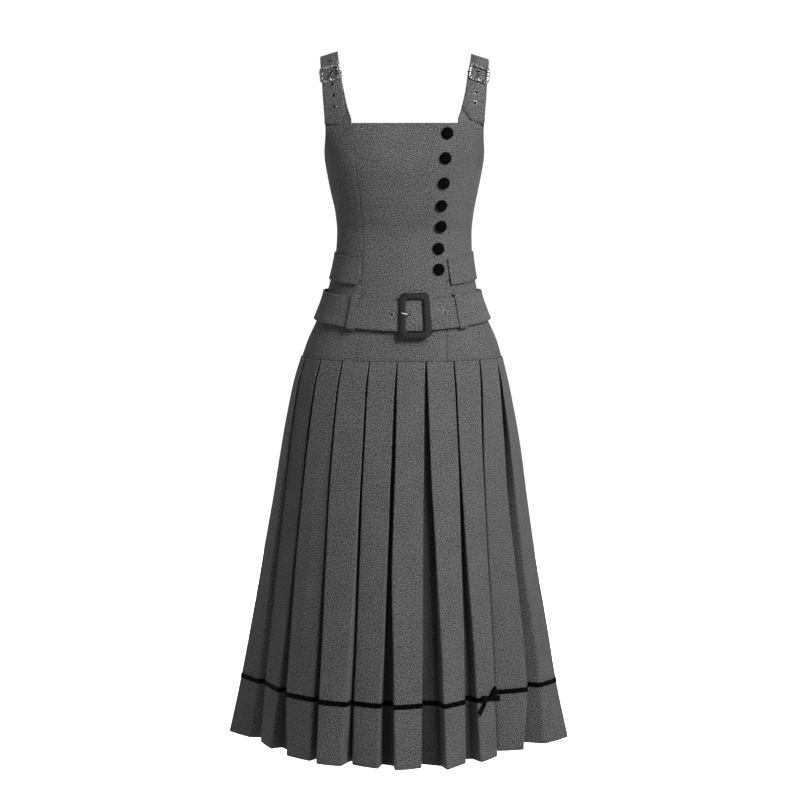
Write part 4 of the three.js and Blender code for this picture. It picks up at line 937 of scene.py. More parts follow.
@dataclass
class Bodice:
    """The six panels of the bodice and hip yoke, and the tabs that hold the strap buckles."""

    cell: float = 4.2
    turned_edge: float = 2.0
    neck_stitch: float = 6.0

    def heights(self, top: float) -> Array:
        """Returns the heights of the rows from the yoke seam to a top."""
        return np.linspace(YOKE_SEAM_Z, top, int((top - YOKE_SEAM_Z) / self.cell) + 1)

    def grid(self, top: float, left: Curve, right: Curve, columns: int,
             lift: Callable[[Array, Array], Array] | None = None) -> Array:
        """Returns a panel's outer surface.

        Args:
            top: the panel's highest row.
            left: the angle of its left edge at each height.
            right: the angle of its right edge at each height.
            columns: how many columns it has.
            lift: how far it stands out.

        Returns:
            The grid of points.
        """
        z = self.heights(top)[:, None]
        angle = mix(left(z), right(z), np.linspace(0, 1, columns)[None, :])
        z = z + 0 * angle
        out = body_relief(z, angle) + (lift(z, angle) if lift else 0)
        return BODY.point(z, angle, out)[0]

    def front_centre(self) -> Array:
        """Returns the front centre panel, whose right edge laps over."""
        shift = SEAM_GAP / 2 / BODY.length_per_degree(-300.0, -30.0)
        return self.grid(NECKLINE_Z, lambda z: -front_seam_angle(z) + shift, front_seam_angle, 44,
                         placket_lift)

    def back_centre(self) -> Array:
        """Returns the back centre panel."""
        shift = SEAM_GAP / 2 / 1.8
        return self.grid(BACK_TOP_Z, lambda z: BACK_SEAM_ANGLE + shift + 0 * z,
                         lambda z: 360 - BACK_SEAM_ANGLE - shift + 0 * z, 36)

    def side_back(self, side: int) -> Array:
        """Returns a side back panel, cut away at the armhole."""
        def under(z: Array) -> Array:
            """Returns the angle of the side seam or the armhole's edge."""
            y = np.where(z > UNDERARM_Z, -armhole_back_y(z), 0)
            return BODY.angle_along(z, y) + SEAM_GAP / 2 / BODY.length_per_degree(z, 90.0)

        def behind(z: Array) -> Array:
            """Returns the angle of the back seam."""
            return BACK_SEAM_ANGLE - SEAM_GAP / 2 / 1.8 + 0 * z

        if side > 0:
            return self.grid(BACK_TOP_Z, under, behind, 28)
        return self.grid(BACK_TOP_Z, lambda z: -behind(z), lambda z: -under(z), 28)

    def side_front(self, side: int, strap: "StrapPath") -> Array:
        """Returns a side front panel with its tab, which folds back over the buckle's bar."""
        columns, tab_under = 26, -SEAM_GAP - PANEL_CLOTH
        z = np.linspace(YOKE_SEAM_Z, NECKLINE_Z - 1.5, 94)[:, None]
        lapped = (side > 0) & (z >= PLACKET_END_Z)
        beside = SEAM_GAP if side > 0 else 0.02
        near = front_seam_angle(z) + np.where(lapped, -OVERLAP_WIDTH, beside) / BODY.length_per_degree(
            z, 35.0)
        y = np.where(z > UNDERARM_Z, armhole_front_y(z), 0)
        far = BODY.angle_along(z, y) - SEAM_GAP / 2 / BODY.length_per_degree(z, 90.0)
        share = np.linspace(0, 1, columns)[None, :]
        share = share if side > 0 else 1 - share
        angle = side * mix(near, far, share)
        body = BODY.point(z + 0 * angle, angle, body_relief(z + 0 * angle, angle))[0]
        across = np.linspace(0, 1, columns)
        first = strap.point(0.0, across, strap.tab(0.0), -SEAM_GAP)
        tab = np.broadcast_to(first, body.shape).copy()
        tab[..., 2] = z
        blend = smooth((z + 168) / 50)[..., None]
        lower = mix(body, tab, blend)
        if side < 0:
            lower += (body[:, -1:] - lower[:, -1:]) * ((1 - share) ** 2)[..., None]
        rows = [lower]
        for along in np.linspace(1.2, 82, 24):
            rows.append(strap.point(along, across, strap.tab(along), -SEAM_GAP)[None])
        radius = BUCKLE_BAR_RADIUS + SEAM_GAP + PANEL_CLOTH
        bar = tab_under - SEAM_GAP - BUCKLE_BAR_RADIUS
        path = [(radius * math.cos(t), bar + radius * math.sin(t)) for t in np.radians(np.linspace(90, -90, 11))]
        path += [(-v, bar - radius) for v in (3, 6, 9)]
        half = strap.tab(STRAP_BUCKLE_AT) / 2
        for v, n in path:
            rows.append(strap.at(STRAP_BUCKLE_AT, np.linspace(-half, half, columns), v, n)[None])
        return np.concatenate(rows)

    def build(self, wardrobe: Wardrobe, stitches: StitchRun, straps: dict[int, "StrapPath"]) -> None:
        grids = {"front_centre": self.front_centre(), "back_centre": self.back_centre()}
        for side, word in ((-1, "left"), (1, "right")):
            grids["side_back_" + word] = self.side_back(side)
            grids["side_front_" + word] = self.side_front(side, straps[side])
        cuts = {"front_centre": (0.18, 0.4, 0.06), "back_centre": (0.2, 0.37, 0.0434),
                "side_back": (0.16, 0.37, 0.0427), "side_front": (0.15, 0.5, 0.0478)}
        for name, grid in grids.items():
            piece = sheet_mesh(name + "_cloth", grid, PANEL_CLOTH)
            wardrobe.dress(piece, Finish.WOOL, [name])
            width, length, area = cuts[name.rsplit("_", 1)[0] if "side" in name else name]
        self.sew_edges(wardrobe, stitches, grids)

    def sew_edges(self, wardrobe: Wardrobe, stitches: StitchRun, grids: dict[str, Array]) -> None:
        """Sews along the neckline, the back's top, the overlapping edge and the yoke seam."""
        paths = []
        rows_down = round(self.neck_stitch / self.cell)
        for name, first, last in (("front_centre", 1, -2), ("back_centre", 0, -1)):
            grid = grids[name]
            lifted = grid + grid_normals(grid) * 0.12
            paths.append(lifted[-1 - rows_down, first:last])
        front = grids["front_centre"]
        lifted = front + grid_normals(front) * 0.12
        opening = self.heights(NECKLINE_Z) > PLACKET_END_Z
        paths.append(lifted[:, -2][opening])
        for name, grid in grids.items():
            lifted = grid + grid_normals(grid) * 0.12
            paths.append(lifted[1])
        run = stitches.sew("bodice_topstitch", paths, Pitch=3.0, Stitch_length=2.1, Thread_radius=0.2)
        wardrobe.dress(run, Finish.THREAD)


# Straps

class StrapPath:
    """The way of one shoulder strap from the neckline over the shoulder to the back."""

    def __init__(self, side: int) -> None:
        """Takes the side and lays out the stations."""
        self.side = side
        x, y, z = (np.array(STRAP_PATH.column(name), float) for name in "xyz")
        steps = np.sqrt(np.diff(x) ** 2 + np.diff(y) ** 2 + np.diff(z) ** 2)
        along = np.concatenate([[0], np.cumsum(steps)])
        self.length = float(along[-1])
        curves = (curve_through(along, STRAP_PATH.column(name)) for name in STRAP_PATH.columns)
        self.x, self.y, self.z, self.yaw, self.drop, self.tab, self.strap = curves

    def place(self, along: Array) -> Array:
        """Returns the underside's middle at a distance along the strap."""
        high = self.z(along)
        settled = high - self.side * STRAP_CREST_TILT * smooth((high + 40) / 25)
        return np.stack([self.side * self.x(along), self.y(along), settled], -1)

    def axes(self, along: float) -> tuple[Array, Array, Array, Array]:
        """Returns the place and the right, up and out directions at a distance along."""
        ahead = self.place(min(self.length, along + 2))
        upward = unit(ahead - self.place(max(0.0, along - 2)))
        yaw, drop = math.radians(self.yaw(along)), math.radians(self.drop(along))
        right = np.array([math.cos(yaw) * math.cos(drop), self.side * math.sin(yaw) * math.cos(drop),
                          -self.side * math.sin(drop)])
        right = unit(right - upward * (right @ upward))
        return self.place(along), right, upward, np.cross(right, upward)

    def at(self, along: float, u: Array, v: float, n: float) -> Array:
        """Returns points given in the frame at a distance along: across, up and out."""
        place, right, upward, out = self.axes(along)
        return place + np.multiply.outer(np.asarray(u, float), right) + upward * v + out * n

    def point(self, along: float, across: Array, width: float, high: float) -> Array:
        """Returns points of the strap or tab, 0 to 1 across from the viewer's left."""
        outer = self.tab(along) / 2
        left = outer - width if self.side > 0 else -outer
        return self.at(along, left + np.asarray(across) * width, 0, high)

    def middle(self, along: float) -> float:
        """Returns how far the eyelets stand from the tab's middle."""
        return float(self.side * ((self.tab(along) - self.strap(along)) / 2 - STRAP_EYELET_INWARD))

    def matrix(self, along: float) -> Matrix:
        """Returns the frame of an eyelet or the prong, in millimetres."""
        place, right, upward, out = self.axes(along)
        place = place + right * self.middle(along)
        return Matrix([[*map(float, row)] for row in np.c_[right, upward, out, place]] + [[0, 0, 0, 1]])


def revolve(name: str, profile: Sequence[tuple[float, float]], around: int,
            frame_of: Matrix) -> bpy.types.Object:
    """Makes a closed round body from a closed profile of radius and height, in a frame in millimetres."""
    turns = np.linspace(0, 2 * np.pi, around, endpoint=False)
    shape = np.array(profile, float)
    rings = np.stack([np.stack([shape[:, 0] * math.cos(t), shape[:, 0] * math.sin(t), shape[:, 1]], -1)
                      for t in turns])
    matrix = np.array(frame_of)
    rings = rings @ matrix[:3, :3].T + matrix[:3, 3]
    return loft_mesh(name, rings, closed=True)


EYELET_PROFILE = ((2.6, -0.6), (2.85, -0.6), (2.9, 0.25), (3.15, 0.34), (3.75, 0.3), (3.85, 0.42),
                  (3.75, 0.6), (3.4, 0.8), (3.05, 0.88), (2.75, 0.78), (2.6, 0.5))


def eyelet(name: str, cloth: float, frame_of: Matrix) -> bpy.types.Object:
    """Makes a rolled metal eyelet through cloth of a thickness."""
    profile = [(r, h + cloth if k > 1 else 0.25) for k, (r, h) in enumerate(EYELET_PROFILE)]
    return revolve(name, profile, 22, frame_of)


def painted_hole_shade(frame_of: Matrix) -> bpy.types.Object:
    """Makes a dark disc in an eyelet's hole, painted shade for the hole's shadowed depth."""
    return revolve("hole_shade_disc", [(0.05, 0.1), (2.8, 0.1), (2.8, 0.6), (0.05, 0.6)], 16, frame_of)


def hole_cutter(cloth: float, frame_of: Matrix) -> bpy.types.Object:
    """Makes a short rod that cuts an eyelet's hole."""
    matrix = np.array(frame_of)
    ends = np.array([[0, 0, -1.0], [0, 0, cloth + 2]]) @ matrix[:3, :3].T + matrix[:3, 3]
    return tube_mesh("cutter", ends, np.full(2, 3.0), 16)


@dataclass
class StrapBuckle:
    """An ornate frame buckle: a beaded, lobed ring with a bar across its back."""

    half_width: float = 18.6
    half_height: float = 17.6
    open_half_width: float = 12.6
    open_half_height: float = 11.2
    back: float = STRAP_CLOTH + 1.1
    thick: float = 2.6
    lobes: int = 24
    points: int = 216
    around: int = 10

    def outline(self, half_width: float, half_height: float, radius: float) -> Array:
        """Returns points evenly spaced round a rectangle with round corners."""
        corners = []
        for sx, sy, first in ((1, 1, 0), (-1, 1, 90), (-1, -1, 180), (1, -1, 270)):
            turns = np.radians(np.linspace(first, first + 90, 12))
            corners.append(np.stack([sx * (half_width - radius) + radius * np.cos(turns),
                                     sy * (half_height - radius) + radius * np.sin(turns)], -1))
        ring = np.concatenate(corners)
        ring = np.concatenate([ring, ring[:1]])
        run = np.concatenate([[0], np.cumsum(np.linalg.norm(np.diff(ring, axis=0), axis=1))])
        goal = np.linspace(0, run[-1], self.points, endpoint=False)
        return np.stack([np.interp(goal, run, ring[:, k]) for k in range(2)], -1)

    def ring(self) -> Array:
        """Returns the lobed ring in the buckle's own frame."""
        middle_width = (self.half_width + self.open_half_width) / 2
        middle_height = (self.half_height + self.open_half_height) / 2
        centre = self.outline(middle_width, middle_height, 4.5)
        ahead = unit(np.roll(centre, -1, axis=0) - np.roll(centre, 1, axis=0))
        outward = np.stack([ahead[:, 1], -ahead[:, 0]], -1)
        phase = np.arange(self.points) * self.lobes * 2 * np.pi / self.points
        lobe = 0.5 + 0.5 * np.cos(phase)
        minor = 0.5 + 0.5 * np.cos(3 * phase)
        flat_share = np.abs(outward[:, 1])
        half_band = mix((self.half_width - self.open_half_width) / 2,
                        (self.half_height - self.open_half_height) / 2, flat_share)
        band = half_band * (0.62 + 0.5 * lobe + 0.12 * minor)
        height = self.thick / 2 * (0.4 + 0.45 * lobe + 0.15 * minor)
        rings = []
        for t in np.linspace(0, 2 * np.pi, self.around, endpoint=False):
            swell = band * math.cos(t)
            high = self.back + self.thick / 2 + height * math.sin(t) * (1.15 if math.sin(t) > 0 else 0.8)
            spread = centre + outward * swell[:, None]
            rings.append(np.c_[spread, high])
        return np.stack(rings, 1)

    def build(self, name: str, strap: StrapPath) -> bpy.types.Object:
        """Returns the buckle with its bar, on a strap."""
        bar_height = -SEAM_GAP - PANEL_CLOTH - SEAM_GAP - BUCKLE_BAR_RADIUS
        place, right, upward, out = strap.axes(STRAP_BUCKLE_AT)
        basis = np.stack([right, upward, out])

        def put(points: Array) -> Array:
            """Returns points of the buckle's frame in the dress's."""
            return points @ basis + place

        pieces = [loft_mesh("ring", put(self.ring()), closed=True)]
        end = self.half_width - 0.7
        path = [(-end, 0, self.back + 1), (-end, 0, bar_height + 1.4), (-end + 0.7, 0, bar_height + 0.2),
                (-end + 2, 0, bar_height), (0, 0, bar_height), (end - 2, 0, bar_height),
                (end - 0.7, 0, bar_height + 0.2), (end, 0, bar_height + 1.4), (end, 0, self.back + 1)]
        pieces.append(tube_mesh("bar", put(smooth_path(path, 40)), np.full(40, BUCKLE_BAR_RADIUS * 0.95)))
        return join_pieces(name, pieces)

    def bead_path(self, strap: StrapPath, offset: float) -> Array:
        """Returns a line on top of the ring on which beads sit, offset from its middle."""
        place, right, upward, out = strap.axes(STRAP_BUCKLE_AT)
        middle = self.outline((self.half_width + self.open_half_width) / 2 + offset,
                              (self.half_height + self.open_half_height) / 2 + offset, 5)
        high = np.full(len(middle), self.back + self.thick - 0.6)
        return np.c_[middle, high] @ np.stack([right, upward, out]) + place


@dataclass
class Shoulders:
    """The straps with their eyelets, buckles and prongs."""

    edge_stitch: float = 2.6

    def width(self, path: StrapPath, along: float) -> float:
        """Returns the strap's width, which covers the right tab's inner edge above its end."""
        full = max(path.strap(along), path.tab(along) + 0.3)
        return mix(path.strap(along), full, smooth((along - 8) / 14)) if path.side > 0 else path.strap(along)

    def strap_grid(self, path: StrapPath) -> Array:
        """Returns the strap's outer surface from its pointed tip to the back."""
        across = np.linspace(0, 1, 14)
        tip_shape = STRAP_TIPS[path.side]
        below = np.interp(across, tip_shape.column("across"), tip_shape.column("below"))
        below = below if path.side < 0 else below[::-1]
        tip = np.concatenate([path.point(max(0.0, -b), [a], self.width(path, max(0.0, -b)), STRAP_CLOTH)
                              for a, b in zip(across, below)])
        tip = tip + np.maximum(below, 0)[:, None] * np.array([0, -0.25, -0.97])
        rows = [tip]
        for along in np.concatenate([[5, 10, 16, 22], np.linspace(28, path.length, 92)]):
            row = path.point(along, across, self.width(path, along), STRAP_CLOTH)
            blend = smooth(along / 28)
            rows.append(mix(tip + (row - path.point(0.0, across, path.strap(0.0), STRAP_CLOTH)), row, blend))
        grid = np.stack(rows)
        grid[-1, :, 2] = BACK_TOP_Z + SEAM_GAP
        return grid

    def prong(self, name: str, path: StrapPath) -> bpy.types.Object:
        """Returns the prong, from its ring on the bar through the strap to the buckle's frame."""
        bar = -SEAM_GAP - PANEL_CLOTH - SEAM_GAP - BUCKLE_BAR_RADIUS
        front = STRAP_CLOTH + 1.1 + 2.6
        run = [(0, 1.2, bar + 1.6), (0, 1.2, 0.6), (0, 1, STRAP_CLOTH + 0.6), (0, -1.4, STRAP_CLOTH + 2.5),
               (0, -6, front), (0, -12, front + 1.2), (0, -17, front + 1.1)]
        matrix = np.array(path.matrix(STRAP_BUCKLE_AT))
        pin = smooth_path(run, 30) @ matrix[:3, :3].T + matrix[:3, 3]
        radius = np.interp(np.linspace(0, 1, 30), [0, 0.35, 0.8, 0.97, 1], [0.75, 0.8, 0.95, 0.7, 0.3])
        turns = np.linspace(0, 2 * np.pi, 20, endpoint=False)
        reach = BUCKLE_BAR_RADIUS + SEAM_GAP + 0.65
        hoop = np.stack([0 * turns, reach * np.cos(turns), bar + reach * np.sin(turns)], -1)
        rings = []
        for place, turn in zip(hoop, turns):
            outward = np.array([0, math.cos(turn), math.sin(turn)])
            rings.append([place + 0.65 * (math.cos(a) * outward + math.sin(a) * np.array([1, 0, 0]))
                          for a in np.linspace(0, 2 * np.pi, 8, endpoint=False)])
        loop = loft_mesh("hoop", np.array(rings) @ matrix[:3, :3].T + matrix[:3, 3], closed=True)
        return join_pieces(name, [tube_mesh("pin", pin, radius), loop])

    def prong_tip(self, name: str, path: StrapPath) -> bpy.types.Object:
        """Returns the polished point of the prong, where it rests on the frame."""
        front = STRAP_CLOTH + 1.1 + 2.6
        run = np.array([(0, -12.5, front + 1.1), (0, -14.5, front + 1.5), (0, -16.5, front + 1.4),
                        (0, -18.2, front + 0.6)])
        matrix = np.array(path.matrix(STRAP_BUCKLE_AT))
        points = smooth_path(run, 12) @ matrix[:3, :3].T + matrix[:3, 3]
        return tube_mesh(name, points, np.interp(np.linspace(0, 1, 12), [0, 0.4, 0.8, 1], [1.2, 1.9, 1.5, 0.3]))

    def build(self, wardrobe: Wardrobe, stitches: StitchRun, paths: dict[int, StrapPath]) -> None:
        """Makes both straps."""
        seams = []
        for side, word in ((-1, "left"), (1, "right")):
            path = paths[side]
            grid = self.strap_grid(path)
            strap = sheet_mesh(f"strap_{word}_cloth", grid, STRAP_CLOTH)
            frames = [path.matrix(along) for along in STRAP_EYELETS_AT[side]]
            pierce(strap, [hole_cutter(STRAP_CLOTH, f) for f in frames])
            wardrobe.dress(strap, Finish.WOOL, [f"strap_{word}"])
            rings = [eyelet("eyelet", STRAP_CLOTH, f) for f in frames]
            names = [f"strap_eyelet_{word}_{k}" for k in range(1, 6)]
            # Painted shade: dark velvet discs fill the eyelets' holes, where there is only shadow.
            shade_discs = [painted_hole_shade(f) for f in frames]
            wardrobe.dress(join_pieces(f"strap_eyelet_shade_discs_{word}", shade_discs), Finish.VELVET)
            wardrobe.dress(join_pieces(f"strap_eyelets_{word}", rings), Finish.TARNISHED, names)
            buckle = StrapBuckle().build(f"strap_buckle_{word}_ornate", path)
            wardrobe.dress(buckle, Finish.CHASED, [f"strap_buckle_{word}"])
            lines = [StrapBuckle().bead_path(path, offset) for offset in (-1.5, 1.6)]
            beads = stitches.sew(f"strap_buckle_{word}_beads", lines, Pitch=3.9, Stitch_length=2.4,
                                 Thread_radius=1.05)
            wardrobe.dress(beads, Finish.CHASED)
            wardrobe.dress(self.prong(f"strap_prong_{word}_pin", path), Finish.TARNISHED,
                           [f"strap_prong_{word}"])
            wardrobe.dress(self.prong_tip(f"strap_prong_{word}_tip", path), Finish.SILVER)
            lifted = grid + grid_normals(grid) * 0.1
            seams += [lifted[1:, 1], lifted[1:, -2], lifted[1, 1:-1]]
        run = stitches.sew("strap_topstitch", seams, Pitch=2.8, Stitch_length=1.9, Thread_radius=0.18)
        wardrobe.dress(run, Finish.THREAD)


# Buttons and flaps

def surface_frame(z: float, angle: float, out: float) -> Matrix:
    """Returns a frame on the body: right, up the surface, and out of it, in millimetres."""
    place = BODY.point(z, angle, out)[0]
    right = unit(BODY.point(z, angle + 0.5)[0] - BODY.point(z, angle - 0.5)[0])
    upward = BODY.point(z + 8, angle)[0] - BODY.point(z - 8, angle)[0]
    upward = unit(upward - right * (upward @ right))
    out_of = np.cross(right, upward)
    return Matrix([[*map(float, row)] for row in np.c_[right, upward, out_of, place]] + [[0, 0, 0, 1]])


@dataclass
class ButtonRow:
    """Domed buttons covered in velvet, beside the overlapping edge."""

    around: int = 48
    pinch: float = 0.22

    def button(self, name: str, frame_of: Matrix, turn: float) -> bpy.types.Object:
        """Returns a button with a softly gathered rim."""
        profile = np.array([(0.05, 0), (7.6, 0), (8.6, 0.35), (9.6, 1.3), (10.0, 2.3), (9.8, 3.3), (9.0, 4.4),
                            (7.4, 5.4), (5.0, 6.1), (2.4, 6.45), (0.05, 6.5)])
        turns = np.linspace(0, 2 * np.pi, self.around, endpoint=False)
        rings = []
        for t in turns:
            rim = smooth((profile[:, 0] - 7) / 3) * smooth((3.6 - profile[:, 1]) / 3)
            reach = profile[:, 0] - self.pinch * rim * (0.5 + 0.5 * np.cos(13 * t + turn))
            rings.append(np.stack([reach * math.cos(t), reach * math.sin(t), profile[:, 1]], -1))
        matrix = np.array(frame_of)
        return loft_mesh(name, np.array(rings) @ matrix[:3, :3].T + matrix[:3, 3], closed=True)

    def build(self, wardrobe: Wardrobe) -> None:
        for k, (z, inset, out) in enumerate(BUTTONS.rows, 1):
            angle = front_seam_angle(z) - inset / BODY.length_per_degree(z, 30.0)
            place = surface_frame(z, float(angle), PLACKET_LIFT + out)
            piece = self.button(f"button_{k}_velvet", place, 1.7 * k)
            wardrobe.dress(piece, Finish.VELVET, [f"button_{k}"])


@dataclass
class PocketFlaps:
    """Two flaps from the front seams round to the sides, standing out towards the bottom."""

    top_inner: float = -340
    top_outer: float = -331
    bottom_inner: float = -383
    bottom_outer: float = -375
    cloth: float = 2.2
    end_angle: float = 95
    top_out: float = 0.7
    bottom_out: float = 3
    side_flat: float = 0.5

    def grid(self, side: int) -> Array:
        """Returns a flap's outer surface."""
        up = np.linspace(0, 1, 16)[:, None]
        across = np.linspace(0, 1, 34)[None, :]
        z = mix(mix(self.bottom_inner, self.bottom_outer, across), mix(self.top_inner, self.top_outer, across),
                up)
        beside = mix(9, 2.2, up) if side > 0 else mix(2, -1.5, up)
        inner = BODY.angle_across(z, front_seam_x(z) + beside)
        angle = mix(inner, self.end_angle, across)
        standing = mix(self.bottom_out, self.top_out, up ** 0.7) * (1 - self.side_flat * across)
        wave = 0.35 * np.sin(across * 7 + side) * (1 - up)
        grid = BODY.point(z, side * angle, self.cloth + standing + wave)[0]
        return grid if side > 0 else grid[:, ::-1]

    def build(self, wardrobe: Wardrobe, stitches: StitchRun) -> None:
        """Makes both flaps with their edge stitching."""
        seams = []
        for side, word in ((-1, "left"), (1, "right")):
            grid = self.grid(side)
            flap = sheet_mesh(f"pocket_flap_{word}_cloth", grid, self.cloth)
            wardrobe.dress(flap, Finish.WOOL, [f"pocket_flap_{word}"])
            lifted = grid + grid_normals(grid) * 0.12
            seams += [lifted[1, 2:-2], lifted[1:-1, 2] if side > 0 else lifted[1:-1, -3], lifted[-2, 1:-1]]
        run = stitches.sew("flap_topstitch", seams, Pitch=3.0, Stitch_length=2.0, Thread_radius=0.2)
        wardrobe.dress(run, Finish.THREAD)


# Belt

belt_out = BELT_LAY.curve("turn", "out")


def belt_middle(turn: Array) -> Array:
    """Returns the height of the belt's middle at a turn."""
    return BELT_SIDE_Z - BELT_FRONT_DIP * np.clip(np.cos(np.radians(turn)), 0, 1) ** 1.5


def belt_point(turn: Array, height: Array, out: Array) -> Array:
    """Returns points of the belt by turn, height above its middle and distance out of the body."""
    turn, height, out = np.broadcast_arrays(np.asarray(turn, float), height, out)
    z = belt_middle(turn)
    rise = np.linalg.norm(BODY.point(z + 20, turn)[0] - BODY.point(z - 20, turn)[0], axis=-1) / 40
    return BODY.point(z + height / rise, turn, out)[0]


BUCKLE_SCALE = float(BODY.length_per_degree(belt_middle(BELT_BUCKLE_ANGLE), BELT_BUCKLE_ANGLE, BELT_TOP_OUT))
BELT_BAR_OUT = BELT_LAY.rows[0][1] - SEAM_GAP - BUCKLE_BAR_RADIUS
BELT_EYELETS = [k * BELT_EYELET_PITCH for k in (-1.29, -0.29, 0.71, 1.71, 2.71)]


def buckle_turn(u: Array) -> Array:
    """Returns the turn of a point a distance to the right of the buckle's bar."""
    return BELT_BUCKLE_ANGLE + np.asarray(u, float) / BUCKLE_SCALE


def belt_frame(u: float, height: float, out: float) -> Matrix:
    """Returns a frame on the belt near the buckle: right, up and out, in millimetres."""
    middle = belt_point(buckle_turn(u), height, out)
    right = unit(belt_point(buckle_turn(u + 1), height, out) - belt_point(buckle_turn(u - 1), height, out))
    upward = belt_point(buckle_turn(u), height + 1, out) - belt_point(buckle_turn(u), height - 1, out)
    upward = unit(upward - right * (upward @ right))
    out_of = np.cross(right, upward)
    return Matrix([[*map(float, row)] for row in np.c_[right, upward, out_of, middle]] + [[0, 0, 0, 1]])


@dataclass
class Belt:
    """The belt with its loops, eyelets, covered buckle and prong."""

    half_width: float = 26
    half_height: float = 37.6
    open_half_width: float = 14.7
    open_half_height: float = 26.6
    back: float = 10.8
    thick: float = 4.2

    def grid(self) -> Array:
        """Returns the belt's outer surface from the fold round the bar to its tip."""
        radius = BUCKLE_BAR_RADIUS + SEAM_GAP + BELT_CLOTH
        bend = np.radians(np.linspace(-90, -270, 13))
        fold = [(12 - k, BELT_BAR_OUT - radius) for k in (0, 3, 6, 9)]
        fold += [(radius * math.cos(t), BELT_BAR_OUT + radius * math.sin(t)) for t in bend]
        turns = list(buckle_turn([u for u, _ in fold]))
        outs = [n for _, n in fold]
        rest = np.concatenate([np.linspace(BELT_BUCKLE_ANGLE + 1.6, 336, 170),
                               np.linspace(338, BELT_TIP_TURN, 74)])
        turns = np.array(turns + list(rest))
        outs = np.array(outs + list(belt_out(rest) + BELT_CLOTH))
        across = np.linspace(-0.5, 0.5, 17)
        tip = 6 * (1 - np.abs(across) * 2) * np.linspace(0, 1, len(turns))[None, :].T ** 40
        turn = turns[:, None] + tip
        soft = 0.25 * np.sin(turn * 0.11) * np.sin(across[None, :] * 9) * (turns > 60)[:, None]
        grid = belt_point(turn, across[None, :] * BELT_WIDTH, outs[:, None] + soft)
        return grid.transpose(1, 0, 2)

    def buckle(self) -> bpy.types.Object:
        """Returns the covered buckle: a thick rounded frame with a slightly arched opening."""
        shape = StrapBuckle(points=160)
        outer = shape.outline(self.half_width, self.half_height, 9)
        inner = shape.outline(self.open_half_width, self.open_half_height, 3)
        inner = inner + np.c_[0 * inner[:, 0], 0.9 * np.sign(inner[:, 1]) * (1 - (inner[:, 0] / 15) ** 2)
                              * (np.abs(inner[:, 1]) > 20)]
        profile = [(0.0, 0.25), (0.05, 0.08), (0.14, 0.0), (0.88, 0.0), (0.96, 0.1), (1.0, 0.3), (1.0, 0.6),
                   (0.95, 0.8), (0.85, 0.95), (0.68, 1.02), (0.45, 1.04), (0.25, 1.0), (0.1, 0.86),
                   (0.02, 0.62)]
        rings = np.stack([np.c_[mix(outer, inner, share), np.full(160, self.back + self.thick * high)]
                          for share, high in profile], 1)
        placed = belt_point(buckle_turn(rings[..., 0]), rings[..., 1], rings[..., 2])
        ring = loft_mesh("ring", placed, closed=True)
        end = self.open_half_height + 2.6
        path = [(-end, self.back + 1), (-end, BELT_BAR_OUT + 1), (-end + 1, BELT_BAR_OUT), (0, BELT_BAR_OUT),
                (end - 1, BELT_BAR_OUT), (end, BELT_BAR_OUT + 1), (end, self.back + 1)]
        bar = np.array([belt_point(BELT_BUCKLE_ANGLE, height, out) for height, out in path])
        return join_pieces("belt_buckle_covered", [ring, tube_mesh("bar", smooth_path(bar, 40),
                                                                  np.full(40, BUCKLE_BAR_RADIUS * 0.95))])

    def prong(self) -> bpy.types.Object:
        """Returns the prong, from its ring on the bar through an eyelet to the buckle's frame."""
        front = self.back + self.thick
        run = [(-1.6, 0, BELT_BAR_OUT + 1.4), (-6, 0, 5.4), (-8.3, 0, 6.1), (-8.6, 0, 7.4), (-8.6, 0, 9),
               (-9, 0.2, 10.8), (-11.2, 0.9, 13.4), (-15.5, 2.2, front + 1.6), (-22.5, 4.4, front + 1.1)]
        points = np.array([belt_point(buckle_turn(u), v + EYELET_ROW, n) for u, v, n in run])
        radius = np.interp(np.linspace(0, 1, 44), [0, 0.5, 0.85, 0.98, 1], [0.75, 0.85, 1.1, 0.8, 0.35])
        pin = tube_mesh("pin", smooth_path(points, 44), radius)
        matrix = np.array(belt_frame(0, EYELET_ROW, BELT_BAR_OUT))
        reach = BUCKLE_BAR_RADIUS + SEAM_GAP + 0.65
        rings = []
        for t in np.linspace(0, 2 * np.pi, 20, endpoint=False):
            outward = np.array([math.cos(t), 0, math.sin(t)])
            rings.append([reach * outward + 0.65 * (math.cos(a) * outward - math.sin(a) * np.array([0, 1, 0]))
                          for a in np.linspace(0, 2 * np.pi, 8, endpoint=False)])
        hoop = loft_mesh("hoop", np.array(rings) @ matrix[:3, :3].T + matrix[:3, 3], closed=True)
        return join_pieces("belt_prong_pin", [pin, hoop])

    def loop_grid(self, angle: float) -> Array:
        """Returns a belt loop's outer surface, from its lower end over the belt to its upper end."""
        over = angle + 360 if angle < 90 else angle
        reach = max(float(belt_out(angle + 360 if angle < 0 else angle)), float(belt_out(over)))
        reach += BELT_CLOTH + 1.1
        half = [(-31, 2.1), (-29.6, 2.1), (-28.9, 2.8), (-28.6, reach - 1), (-27.6, reach + 0.9),
                (-25.4, reach + 1.5), (-20, reach + 1.5)]
        path = half + [(0, reach + 1.7)] + [(-h, out) for h, out in half[::-1]]
        fine = smooth_path(np.array([(h, out, 0) for h, out in path]), 56)
        per_degree = float(BODY.length_per_degree(belt_middle(angle), angle))
        u = np.linspace(-6.8, 6.8, 8)
        return belt_point(angle + u[None, :] / per_degree, fine[:, :1], fine[:, 1:2])

